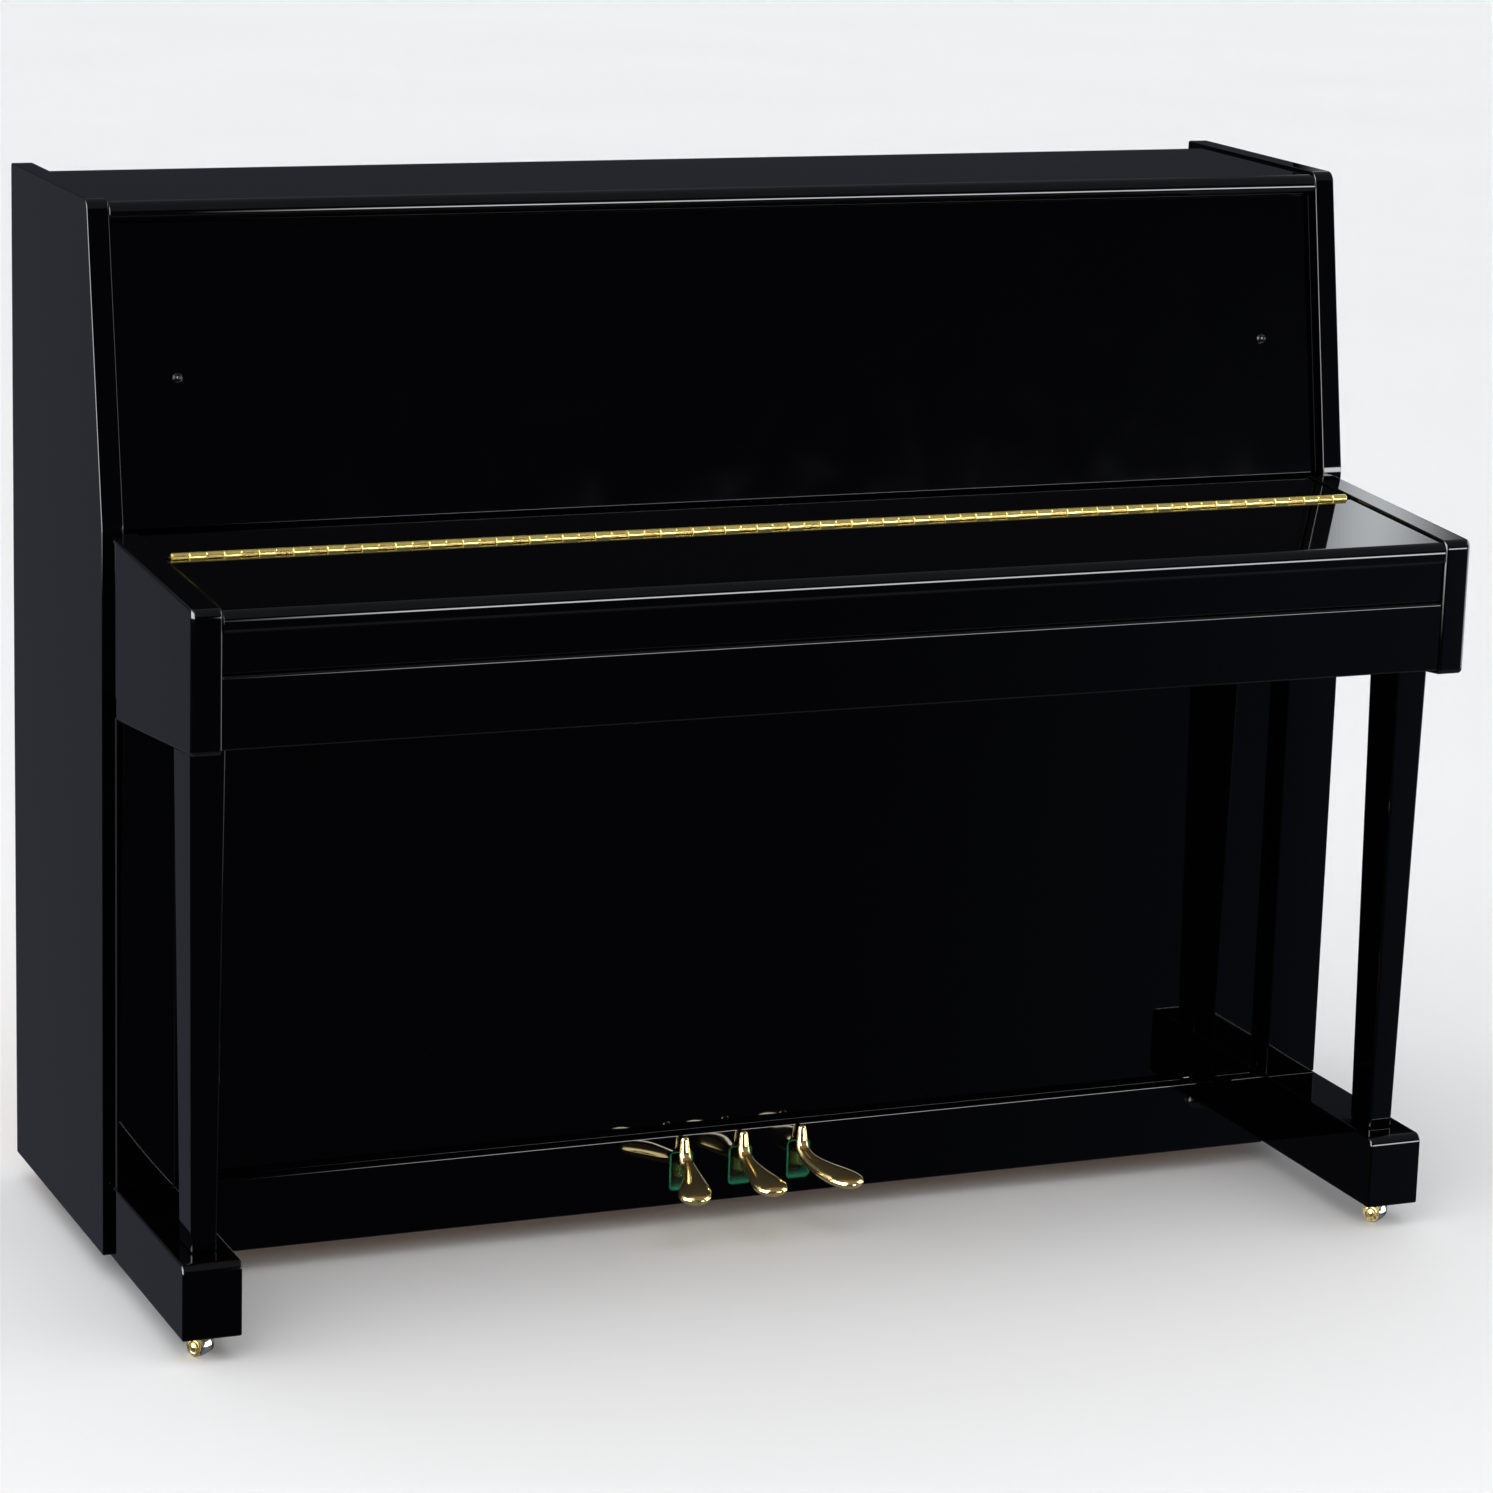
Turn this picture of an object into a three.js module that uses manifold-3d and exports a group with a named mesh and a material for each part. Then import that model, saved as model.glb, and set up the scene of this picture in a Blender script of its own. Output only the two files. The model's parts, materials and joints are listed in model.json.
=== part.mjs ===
// Upright piano, closed, standing on its four casters.
// Millimetres. X runs along the keyboard (bass at -X), +Y points to the back, +Z is up.
// The origin is on the floor, under the middle of the piano.
import * as THREE from 'three';
import { mergeVertices } from 'three/addons/utils/BufferGeometryUtils.js';
import Module from 'manifold-3d';

const wasm = await Module();
wasm.setup();

// ---- overall size ------------------------------------------------------------------
const WIDTH = 1380;
const HEIGHT = 1090;
const DEPTH = 640;
const BACK = DEPTH / 2;
const FRONT = -DEPTH / 2;
const GAP = 0.3; // clearance between two pieces that touch

// ---- case --------------------------------------------------------------------------
const SIDE_OUT = WIDTH / 2;
const SIDE_T = 22;
const SIDE_IN = SIDE_OUT - SIDE_T;
const CASE_BOTTOM = 25; // underside of the case above the floor
const CASE_FRONT = -30; // front edge of the side panels below the bend
const BEND_Z = 774; // where the front edge starts to lean back
const TOP_FRONT = 25; // front edge of the side panels at the top
const SLANT = (TOP_FRONT - CASE_FRONT) / (HEIGHT - BEND_Z);
const TRIM_OUT = 683; // outer face of arms, pilasters and toe blocks
const ARM_T = 30;
const ARM_IN = TRIM_OUT - ARM_T;
const ARM_REAR_TOP = 768;
const ARM_FRONT_TOP = 752;
const ARM_REAR_BOTTOM = 583;
const ARM_FRONT_BOTTOM = 612;
const PILLAR_W = 60; // width of the pilasters and the toe blocks
const PILLAR_IN = TRIM_OUT - PILLAR_W;
const PLINTH_FRONT = -59;
const PLINTH_T = 22;
const TOE_FRONT = -294;
const TOE_TOP = 102;
const TOE_TENON_TOP = 60;
const TOE_TENON_BACK = 120;
const LOWER_PANEL_FRONT = -39;
const PANEL_T = 15;
const PANEL_RECESS = 15.2; // upper panel behind the slanted edges, measured along Y
const PANEL_BOTTOM = 769;
const LID_TOP = 1087;
const LID_T = 20;
const LID_BOTTOM = LID_TOP - LID_T;
const LID_FRONT = 22;
const LID_BACK = 272;
const LEG_X = 652;
const LEG_Y = -240;
const LEG_TOP = [35, 58];
const LEG_FOOT = [26, 42];

// ---- key bed, fallboard and its continuous hinge -------------------------------------
const BED_BOTTOM = 612;
const BED_TOP = 640;
const BED_FRONT = -299.5;
const BED_BACK = 160;
const SLIP_FRONT = -318;
const SLIP_T = 18;
const SLIP_BOTTOM = 616;
const SLIP_TOP = 688;
const FALL_T = 18;
const FALL_BELOW_ARM = 2.5; // fallboard surface under the arm tops
const FALL_HALF = ARM_IN - 0.8;
const DROP_FRONT = -316; // the lip that hangs down at the front of the fallboard
const DROP_T = 14;
const HINGE_Y = -119;
const HINGE_Z = 761;
const KNUCKLE_R = 4.5;
const KNUCKLE_BORE = 2.1;
const HINGE_PIN_R = 1.8;
const HINGE_HALF = 646;
const HINGE_KNUCKLES = 16;
const LEAF_IN = 3.3; // each leaf hangs between the two boards, this far from the hinge axis
const LEAF_T = 1.2;
const LEAF_LOW = 17; // foot of the leaves below the hinge axis
const BUFFER_X = 603;
const BUFFER_Z = 914;
const BUFFER_R = 5;
const BUFFER_L = 9;

// ---- keyboard ------------------------------------------------------------------------
const NATURALS = 52;
const KEY_PITCH = 1225 / NATURALS;
const KEY_GAP = 1;
const KEY_FRONT = -296;
const KEY_BACK = 60;
const SHARP_FRONT = -246;
const SHARP_TAIL = 40;
const SHARP_CAP_BACK = -150;
const SHARP_HALF = 4.75;
const KEY_BOTTOM = 698;
const KEY_TOP = 720;
const SHARP_TOP = 732;
const BALANCE_Y = -71;
const MIDDLE_C = 23; // counted in natural keys from the lowest A
const OCTAVE = 7;
const LETTERS = ['a', 'b', 'c', 'd', 'e', 'f', 'g'];
const SHARP_OFFSET = { a: 3.5, c: -2.5, d: 2.5, f: -3.5, g: 0 }; // from the line between naturals

// ---- inside the case -------------------------------------------------------------------
const POST_FRONT = 250;
const POST_BACK = 319;
const POST_W = 55;
const POST_X = [-600, -300, 0, 300, 600];
const BEAM_LOW_TOP = 150;
const BEAM_HIGH_BOTTOM = 960;
const BEAM_HIGH_TOP = LID_BOTTOM - 0.5;
const PLATE_FRONT = 212;
const PLATE_T = 12;
const PLATE_RIM = 28;
const PLATE_HALF = 667;
const PLATE_LOW = 62;
const PLATE_HIGH = 1040;
const HAMMERS = 88;
const HAMMER_HALF = 4; // half thickness of a hammer
const HAMMER_TOP = 916;
const ACTION_RAIL_Y = [118, 142];
const ACTION_RAIL_Z = [812, 834];
const BRACKET_X = [-600, -220, 220, 600];
const BRACKET_HALF = 7;
const FRONT_RAIL_Y = [-292, -262];
const FRONT_RAIL_TOP = 684;
const BALANCE_HALF = 10;
const BACK_RAIL_Y = [12, 38];
const TIE_X = [-606, -200, 200, 606];
const TIE_HALF = 6;
const BOTTOM_BOARD_T = 18;
const KEY_BLOCK_TOP = 728;

// ---- pedals and casters ------------------------------------------------------------------
const PEDAL_PITCH = 67;
const PEDAL_MIDDLE = -4.5; // the set stands a little towards the bass
const SLOT_W = 28;
const SLOT_LOW = 40;
const SLOT_HIGH = 84;
const PEDAL_W = 14;
const PEDAL_PIVOT_Y = 20;
const PEDAL_PIVOT_Z = 60;
const PEDAL_PIN_R = 3;
const CASTER_X = 653;
const CASTER_FRONT_Y = -272;
const CASTER_BACK_X = 600;
const CASTER_BACK_Y = 285;
const CASTER_TURN = THREE.MathUtils.degToRad(35);
const WHEEL_R = 10.5;
const WHEEL_W = 14;
const TRAIL = 7;
const AXLE_R = 2.5;
const STEM_R = 4;
const CHEEK_R = 9.5;
const CROWN_BOTTOM = 22;
const CROWN_TOP = 24.6;
const STEM_TOP = 54;

// ---- finishes ------------------------------------------------------------------------------
const finish = (color, roughness, metalness = 0) =>
  new THREE.MeshStandardMaterial({ color, roughness, metalness });
const EBONY = finish('#08080b', 0.06);
const BRASS = finish('#c9a553', 0.22, 1);
const STEEL = finish('#b9bcc0', 0.2, 1);
const RUBBER = finish('#141416', 0.7);
const IVORY = finish('#f3f0e6', 0.25);
const SHARP_BLACK = finish('#0e0e10', 0.3);
const SPRUCE = finish('#d8b57c', 0.6);
const BEECH = finish('#b98a58', 0.65);
const IRON = finish('#a98a45', 0.4, 0.6);
const FELT = finish('#e9e4d6', 0.95);

// ---- helpers ---------------------------------------------------------------------------------
const X_AXIS = new THREE.Vector3(1, 0, 0);
const Y_AXIS = new THREE.Vector3(0, 1, 0);
const Z_AXIS = new THREE.Vector3(0, 0, 1);
const ARC_STEPS = 4;

// A shape from corners [u, v, radius]; a corner with a radius becomes an arc.
function outline(corners) {
  const points = [];
  corners.forEach(([u, v, radius = 0], i) => {
    const here = new THREE.Vector2(u, v);
    if (radius === 0) {
      points.push(here);
      return;
    }
    const before = corners.at(i - 1);
    const after = corners[(i + 1) % corners.length];
    const toBefore = new THREE.Vector2(before[0], before[1]).sub(here).normalize();
    const toAfter = new THREE.Vector2(after[0], after[1]).sub(here).normalize();
    const half = Math.acos(toBefore.dot(toAfter)) / 2;
    const inward = toBefore.clone().add(toAfter).normalize();
    const centre = here.clone().addScaledVector(inward, radius / Math.sin(half));
    const reach = radius / Math.tan(half);
    const start = here.clone().addScaledVector(toBefore, reach).sub(centre);
    const end = here.clone().addScaledVector(toAfter, reach).sub(centre);
    const sweep = Math.atan2(start.cross(end), start.dot(end));
    for (let k = 0; k <= ARC_STEPS; k += 1) {
      points.push(start.clone().rotateAround(new THREE.Vector2(), (sweep * k) / ARC_STEPS).add(centre));
    }
  });
  return new THREE.Shape(points);
}

// Corners are [y, z]; the solid runs from x0 to x1.
function alongX(corners, x0, x1) {
  const turn = new THREE.Matrix4().makeBasis(Y_AXIS, Z_AXIS, X_AXIS);
  const shape = outline(corners);
  return new THREE.ExtrudeGeometry(shape, { depth: x1 - x0, bevelEnabled: false })
    .applyMatrix4(turn)
    .translate(x0, 0, 0);
}

// Corners are [x, z]; the solid runs from y0 to y1.
function alongY(shape, y0, y1) {
  const turn = new THREE.Matrix4().makeBasis(X_AXIS, Z_AXIS, Y_AXIS.clone().negate());
  return new THREE.ExtrudeGeometry(shape, { depth: y1 - y0, bevelEnabled: false })
    .applyMatrix4(turn)
    .translate(0, y1, 0);
}

// Corners are [x, y]; the solid runs from z0 to z1.
function alongZ(corners, z0, z1) {
  return new THREE.ExtrudeGeometry(outline(corners), { depth: z1 - z0, bevelEnabled: false })
    .translate(0, 0, z0);
}

function block([x0, x1], [y0, y1], [z0, z1]) {
  return new THREE.BoxGeometry(x1 - x0, y1 - y0, z1 - z0)
    .translate((x0 + x1) / 2, (y0 + y1) / 2, (z0 + z1) / 2);
}

function rodX(radius, x0, x1, y, z, sides = 12) {
  return new THREE.CylinderGeometry(radius, radius, x1 - x0, sides)
    .rotateZ(Math.PI / 2)
    .translate((x0 + x1) / 2, y, z);
}

function rodZ(radius, z0, z1, x, y, sides = 20) {
  return new THREE.CylinderGeometry(radius, radius, z1 - z0, sides)
    .rotateX(Math.PI / 2)
    .translate(x, y, (z0 + z1) / 2);
}

// A closed ring turned about the X axis.
function ringX(inner, outer, x0, x1, y, z, sides) {
  const section = [[inner, x0], [outer, x0], [outer, x1], [inner, x1], [inner, x0]];
  return new THREE.LatheGeometry(section.map(([r, x]) => new THREE.Vector2(r, x)), sides)
    .rotateZ(-Math.PI / 2)
    .translate(0, y, z);
}

function solid(geometry) {
  const bare = geometry.clone();
  bare.deleteAttribute('normal');
  bare.deleteAttribute('uv');
  const welded = mergeVertices(bare, 1e-4);
  const mesh = new wasm.Mesh({
    numProp: 3,
    vertProperties: new Float32Array(welded.attributes.position.array),
    triVerts: new Uint32Array(welded.index.array),
  });
  return new wasm.Manifold(mesh);
}

function surface(body) {
  const mesh = body.getMesh();
  const geometry = new THREE.BufferGeometry();
  geometry.setAttribute('position', new THREE.BufferAttribute(new Float32Array(mesh.vertProperties), 3));
  geometry.setIndex(new THREE.BufferAttribute(new Uint32Array(mesh.triVerts), 1));
  geometry.computeVertexNormals();
  return geometry;
}

const join = (...pieces) => surface(pieces.map(solid).reduce((whole, piece) => whole.add(piece)));
const cut = (piece, ...tools) => surface(
  tools.map(solid).reduce((rest, tool) => rest.subtract(tool), solid(piece)),
);
const mirrored = (side, x0, x1) => (side > 0 ? [x0, x1] : [-x1, -x0]);

const piano = new THREE.Group();
function put(name, geometry, material, parent = piano) {
  const mesh = new THREE.Mesh(geometry, material);
  mesh.name = name;
  parent.add(mesh);
  return mesh;
}

const slantY = (z) => CASE_FRONT + (z - BEND_Z) * SLANT;
const armSlope = (ARM_REAR_TOP - ARM_FRONT_TOP) / (CASE_FRONT - FRONT);
const fallTop = (y) => ARM_FRONT_TOP + (y - FRONT) * armSlope - FALL_BELOW_ARM;

// ---- case: sides, arms, pilasters, toe blocks, legs ---------------------------------------------
function sidePanel(side) {
  const corners = [
    [BACK, CASE_BOTTOM, 1],
    [BACK, HEIGHT, 2],
    [TOP_FRONT, HEIGHT, 12],
    [CASE_FRONT, BEND_Z, 40],
    [CASE_FRONT, CASE_BOTTOM, 1],
  ];
  return alongX(corners, ...mirrored(side, SIDE_IN, SIDE_OUT));
}

const armRise = (ARM_FRONT_BOTTOM - ARM_REAR_BOTTOM) / (CASE_FRONT - FRONT);
const armUnder = (y) => ARM_REAR_BOTTOM + (CASE_FRONT - y) * armRise;
function armCorners(rear, lower) {
  return [
    [rear, ARM_REAR_TOP],
    [FRONT, ARM_FRONT_TOP, 9],
    [FRONT, ARM_FRONT_BOTTOM - lower, 4],
    [rear, armUnder(rear) - lower],
  ];
}

// The arm butts on the side panel's front edge, and its tenon runs on inside the side.
function arm(side) {
  const rear = CASE_FRONT - GAP;
  const tenon = [
    [2, ARM_REAR_TOP],
    [rear - 5, ARM_REAR_TOP - 1],
    [rear - 5, ARM_REAR_BOTTOM + 2],
    [2, ARM_REAR_BOTTOM + 2],
  ];
  return join(
    alongX(armCorners(rear, 0), ...mirrored(side, ARM_IN, TRIM_OUT)),
    alongX(tenon, ...mirrored(side, ARM_IN, SIDE_IN - GAP)),
  );
}

const underArm = (side) => alongX(armCorners(10, GAP), ...mirrored(side, ARM_IN - GAP, SIDE_OUT));

function pilaster(side) {
  const [x0, x1] = mirrored(side, PILLAR_IN, TRIM_OUT);
  const post = block([x0, x1], [PLINTH_FRONT, CASE_FRONT - GAP], [TOE_TOP + GAP, BED_BOTTOM - GAP]);
  return cut(post, underArm(side));
}

const stemHole = (x, y) => rodZ(STEM_R + GAP, CASE_BOTTOM - 5, STEM_TOP + 2, x, y, 12);

function toeBlock(side) {
  const runner = [
    [CASE_FRONT - GAP, CASE_BOTTOM],
    [CASE_FRONT - GAP, TOE_TOP],
    [TOE_FRONT, TOE_TOP, 9],
    [TOE_FRONT, CASE_BOTTOM, 2],
  ];
  const [t0, t1] = mirrored(side, PILLAR_IN, SIDE_IN - GAP);
  const tenon = block([t0, t1], [CASE_FRONT - 20, TOE_TENON_BACK], [CASE_BOTTOM, TOE_TENON_TOP]);
  const whole = join(alongX(runner, ...mirrored(side, PILLAR_IN, TRIM_OUT)), tenon);
  return cut(whole, stemHole(side * CASTER_X, CASTER_FRONT_Y));
}

function leg(side) {
  const foot = TOE_TOP + GAP;
  const head = BED_BOTTOM - GAP;
  const post = new THREE.BoxGeometry(1, 1, head - foot);
  const at = post.attributes.position;
  for (let i = 0; i < at.count; i += 1) {
    const [w, d] = at.getZ(i) > 0 ? LEG_TOP : LEG_FOOT;
    at.setXY(i, at.getX(i) * w, at.getY(i) * d);
  }
  post.translate(side * LEG_X, LEG_Y, (head + foot) / 2);
  return cut(post, underArm(side));
}

for (const [side, word] of [[-1, 'left'], [1, 'right']]) {
  put(`${word}_side_panel`, sidePanel(side), EBONY);
  put(`${word}_arm`, arm(side), EBONY);
  put(`${word}_pilaster`, pilaster(side), EBONY);
  put(`${word}_toe_block`, toeBlock(side), EBONY);
  put(`${word}_leg`, leg(side), EBONY);
}

// ---- case: boards across the front, top and bottom ----------------------------------------------
const pedalX = [-1, 0, 1].map((place) => PEDAL_MIDDLE + place * PEDAL_PITCH);

function plinth() {
  const board = block(
    [-PILLAR_IN + GAP, PILLAR_IN - GAP],
    [PLINTH_FRONT, PLINTH_FRONT + PLINTH_T],
    [CASE_BOTTOM, TOE_TOP],
  );
  const slots = pedalX.map((x) => block(
    [x - SLOT_W / 2, x + SLOT_W / 2],
    [PLINTH_FRONT - 5, PLINTH_FRONT + PLINTH_T + 5],
    [SLOT_LOW, SLOT_HIGH],
  ));
  return cut(board, ...slots);
}
put('plinth', plinth(), EBONY);

put('lower_front_panel', block(
  [-PILLAR_IN + 1, PILLAR_IN - 1],
  [LOWER_PANEL_FRONT, LOWER_PANEL_FRONT + PANEL_T],
  [TOE_TOP + GAP, BED_BOTTOM - GAP],
), EBONY);

put('bottom_board', block(
  [-PILLAR_IN + GAP, PILLAR_IN - GAP],
  [PLINTH_FRONT + PLINTH_T + GAP, POST_FRONT - GAP],
  [CASE_BOTTOM, CASE_BOTTOM + BOTTOM_BOARD_T],
), BEECH);

const panelFace = (z) => slantY(z) + PANEL_RECESS;
const PANEL_TOP = LID_BOTTOM - 1.5;
const PANEL_HALF = SIDE_IN - 0.6;
put('upper_front_panel', alongX([
  [panelFace(PANEL_BOTTOM), PANEL_BOTTOM],
  [panelFace(PANEL_TOP), PANEL_TOP],
  [panelFace(PANEL_TOP) + PANEL_T, PANEL_TOP],
  [panelFace(PANEL_BOTTOM) + PANEL_T, PANEL_BOTTOM],
], -PANEL_HALF, PANEL_HALF), EBONY);

put('top_lid', alongX([
  [LID_FRONT, LID_BOTTOM, 9],
  [LID_FRONT, LID_TOP, 9],
  [LID_BACK, LID_TOP, 2],
  [LID_BACK, LID_BOTTOM, 2],
], -PANEL_HALF, PANEL_HALF), EBONY);

// Round rubber studs that the open fallboard leans on.
const lean = Math.atan(SLANT);
for (const [side, word] of [[-1, 'left'], [1, 'right']]) {
  const stud = new THREE.CylinderGeometry(BUFFER_R, BUFFER_R, BUFFER_L, 16)
    .translate(0, BUFFER_L / 2 + GAP, 0);
  const mesh = put(`${word}_fallboard_buffer`, stud, RUBBER);
  mesh.position.set(side * BUFFER_X, panelFace(BUFFER_Z), BUFFER_Z);
  mesh.rotation.x = Math.PI - lean;
}

// ---- key bed, key slip, key blocks, fallboard ----------------------------------------------------
put('key_bed', join(
  block([-ARM_IN + GAP, ARM_IN - GAP], [BED_FRONT, BED_BACK], [BED_BOTTOM, BED_TOP]),
  block([-SIDE_IN + 0.6, SIDE_IN - 0.6], [3, BED_BACK], [BED_BOTTOM, BED_TOP]),
), BEECH);

put('key_slip', alongX([
  [SLIP_FRONT + SLIP_T, SLIP_BOTTOM],
  [SLIP_FRONT + SLIP_T, SLIP_TOP - GAP],
  [SLIP_FRONT, SLIP_TOP - GAP, 3],
  [SLIP_FRONT, SLIP_BOTTOM, 2],
], -FALL_HALF, FALL_HALF), EBONY);

const KEYS_HALF = (KEY_PITCH * NATURALS) / 2;
for (const [side, word] of [[-1, 'left'], [1, 'right']]) {
  put(`${word}_key_block`, block(
    mirrored(side, KEYS_HALF + KEY_GAP, ARM_IN - GAP),
    [BED_FRONT, HINGE_Y - 2],
    [BED_TOP + GAP, KEY_BLOCK_TOP],
  ), EBONY);
}

const BOARD_GAP = LEAF_IN + LEAF_T + GAP; // the boards stop this far from the hinge axis
put('fallboard_rear_strip', alongX([
  [-2, fallTop(-2)],
  [HINGE_Y + BOARD_GAP, fallTop(HINGE_Y + BOARD_GAP)],
  [HINGE_Y + BOARD_GAP, fallTop(HINGE_Y + BOARD_GAP) - FALL_T],
  [-2, fallTop(-2) - FALL_T],
], -FALL_HALF, FALL_HALF), EBONY);

put('fallboard_flap', alongX([
  [HINGE_Y - BOARD_GAP, fallTop(HINGE_Y - BOARD_GAP)],
  [FRONT, fallTop(FRONT), 8],
  [FRONT, fallTop(FRONT) - FALL_T, 8],
  [DROP_FRONT, fallTop(FRONT) - FALL_T],
  [DROP_FRONT, SLIP_TOP + GAP, 2],
  [DROP_FRONT + DROP_T, SLIP_TOP + GAP, 2],
  [DROP_FRONT + DROP_T, fallTop(DROP_FRONT) - FALL_T],
  [HINGE_Y - BOARD_GAP, fallTop(HINGE_Y - BOARD_GAP) - FALL_T],
], -FALL_HALF, FALL_HALF), EBONY);

// Each leaf is a hanging strip with rings round the pin at every second place.
function hingeLeaf(side) {
  const pitch = (2 * HINGE_HALF) / HINGE_KNUCKLES;
  const neck = KNUCKLE_R + GAP;
  const strip = (x0, x1, low, high) => block(
    [x0, x1],
    mirrored(side, LEAF_IN, LEAF_IN + LEAF_T).map((edge) => edge + HINGE_Y),
    [HINGE_Z - low, HINGE_Z - high],
  );
  const pieces = [strip(-HINGE_HALF, HINGE_HALF, LEAF_LOW, neck)];
  for (let k = side > 0 ? 0 : 1; k < HINGE_KNUCKLES; k += 2) {
    const x0 = -HINGE_HALF + k * pitch + GAP;
    const x1 = x0 + pitch - 2 * GAP;
    pieces.push(ringX(KNUCKLE_BORE, KNUCKLE_R, x0, x1, HINGE_Y, HINGE_Z, 10));
    pieces.push(strip(x0, x1, neck + 0.5, KNUCKLE_R - 3));
  }
  return join(...pieces);
}
put('piano_hinge_fixed_leaf', hingeLeaf(1), BRASS);
put('piano_hinge_moving_leaf', hingeLeaf(-1), BRASS);
put('piano_hinge_pin', rodX(HINGE_PIN_R, -HINGE_HALF - 1, HINGE_HALF + 1, HINGE_Y, HINGE_Z, 8), BRASS);

// ---- keyboard --------------------------------------------------------------------------------------
const letterOf = (n) => LETTERS[n % OCTAVE];
const lineX = (n) => -KEYS_HALF + n * KEY_PITCH; // left edge of natural key n
const hasSharp = (n) => letterOf(n) in SHARP_OFFSET && n < NATURALS - 1;
const sharpX = (n) => lineX(n + 1) + SHARP_OFFSET[letterOf(n)];

function naturalKey(n) {
  const left = lineX(n) + KEY_GAP / 2;
  const right = lineX(n + 1) - KEY_GAP / 2;
  const tailLeft = n > 0 && hasSharp(n - 1) ? sharpX(n - 1) + SHARP_HALF + KEY_GAP : left;
  const tailRight = hasSharp(n) ? sharpX(n) - SHARP_HALF - KEY_GAP : right;
  const shoulder = SHARP_FRONT - 2;
  const corners = [[left, KEY_FRONT], [right, KEY_FRONT], [right, shoulder]];
  if (tailRight < right) corners.push([tailRight, shoulder]);
  corners.push([tailRight, KEY_BACK], [tailLeft, KEY_BACK]);
  if (tailLeft > left) corners.push([tailLeft, shoulder]);
  corners.push([left, shoulder]);
  return alongZ(corners, KEY_BOTTOM, KEY_TOP);
}

function sharpKey(n) {
  return alongX([
    [SHARP_TAIL, KEY_BOTTOM],
    [SHARP_TAIL, KEY_TOP],
    [SHARP_CAP_BACK, KEY_TOP],
    [SHARP_CAP_BACK - 2, SHARP_TOP],
    [SHARP_FRONT + 5, SHARP_TOP],
    [SHARP_FRONT, KEY_TOP - 4],
    [SHARP_FRONT, KEY_BOTTOM],
  ], sharpX(n) - SHARP_HALF, sharpX(n) + SHARP_HALF);
}

const naturalsIn = (from, to) => Array.from({ length: to - from }, (_, i) => from + i);

// Keys outside the middle octave, held together behind the fallboard by a strip.
function joinedNaturals(from, to) {
  const strip = block(
    [lineX(from) + 1, lineX(to) - 1],
    [SHARP_TAIL + 2, KEY_BACK - 2],
    [KEY_BOTTOM + 2, KEY_TOP - 2],
  );
  return join(strip, ...naturalsIn(from, to).map(naturalKey));
}

function joinedSharps(from, to) {
  const numbers = naturalsIn(from, to).filter(hasSharp);
  const first = sharpX(numbers[0]) - SHARP_HALF;
  const last = sharpX(numbers.at(-1)) + SHARP_HALF;
  const strip = block([first, last], [10, 30], [KEY_TOP + GAP, KEY_TOP + 6]);
  const risers = numbers.map((n) => block(
    [sharpX(n) - SHARP_HALF, sharpX(n) + SHARP_HALF],
    [10, 30],
    [KEY_TOP - 2, KEY_TOP + 2],
  ));
  return join(strip, ...risers, ...numbers.map(sharpKey));
}

const OCTAVE_END = MIDDLE_C + OCTAVE;
put('bass_natural_keys', joinedNaturals(0, MIDDLE_C), IVORY);
put('treble_natural_keys', joinedNaturals(OCTAVE_END, NATURALS), IVORY);
put('bass_sharp_keys', joinedSharps(0, MIDDLE_C), SHARP_BLACK);
put('treble_sharp_keys', joinedSharps(OCTAVE_END, NATURALS), SHARP_BLACK);
for (const n of naturalsIn(MIDDLE_C, OCTAVE_END)) {
  put(`key_${letterOf(n)}4`, naturalKey(n), IVORY);
  if (hasSharp(n)) put(`key_${letterOf(n)}4_sharp`, sharpKey(n), SHARP_BLACK);
}

function keyFrame() {
  const low = BED_TOP + GAP;
  const crest = KEY_BOTTOM - 0.5;
  const shoulder = crest - 7.5;
  const across = [-KEYS_HALF, KEYS_HALF];
  const balance = alongX([
    [BALANCE_Y - BALANCE_HALF, low],
    [BALANCE_Y - BALANCE_HALF, shoulder],
    [BALANCE_Y - 2, crest],
    [BALANCE_Y + 2, crest],
    [BALANCE_Y + BALANCE_HALF, shoulder],
    [BALANCE_Y + BALANCE_HALF, low],
  ], ...across);
  const front = block(across, FRONT_RAIL_Y, [low, FRONT_RAIL_TOP]);
  const rear = block(across, BACK_RAIL_Y, [low, crest]);
  const ties = TIE_X.map((x) => block(
    [x - TIE_HALF, x + TIE_HALF],
    [FRONT_RAIL_Y[1] - 18, BACK_RAIL_Y[0] + 18],
    [low, low + 12],
  ));
  return join(balance, front, rear, ...ties);
}
put('key_frame', keyFrame(), BEECH);

// ---- inside: back frame, soundboard, iron plate, pin block, action ----------------------------------
function backFrame() {
  const across = [-SIDE_IN + 0.6, SIDE_IN - 0.6];
  const deep = [POST_FRONT, POST_BACK];
  const posts = POST_X.map((x) => block(
    [x - POST_W / 2, x + POST_W / 2],
    deep,
    [BEAM_LOW_TOP - 5, BEAM_HIGH_BOTTOM + 5],
  ));
  const whole = join(
    block(across, deep, [CASE_BOTTOM, BEAM_LOW_TOP]),
    block(across, deep, [BEAM_HIGH_BOTTOM, BEAM_HIGH_TOP]),
    ...posts,
  );
  const holes = [-CASTER_BACK_X, CASTER_BACK_X].map((x) => stemHole(x, CASTER_BACK_Y));
  return cut(whole, ...holes);
}
put('back_frame', backFrame(), SPRUCE);

put('soundboard', block(
  [-PLATE_HALF, PLATE_HALF],
  [POST_FRONT - 9, POST_FRONT - GAP],
  [PLATE_LOW, BEAM_HIGH_BOTTOM],
), SPRUCE);

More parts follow.
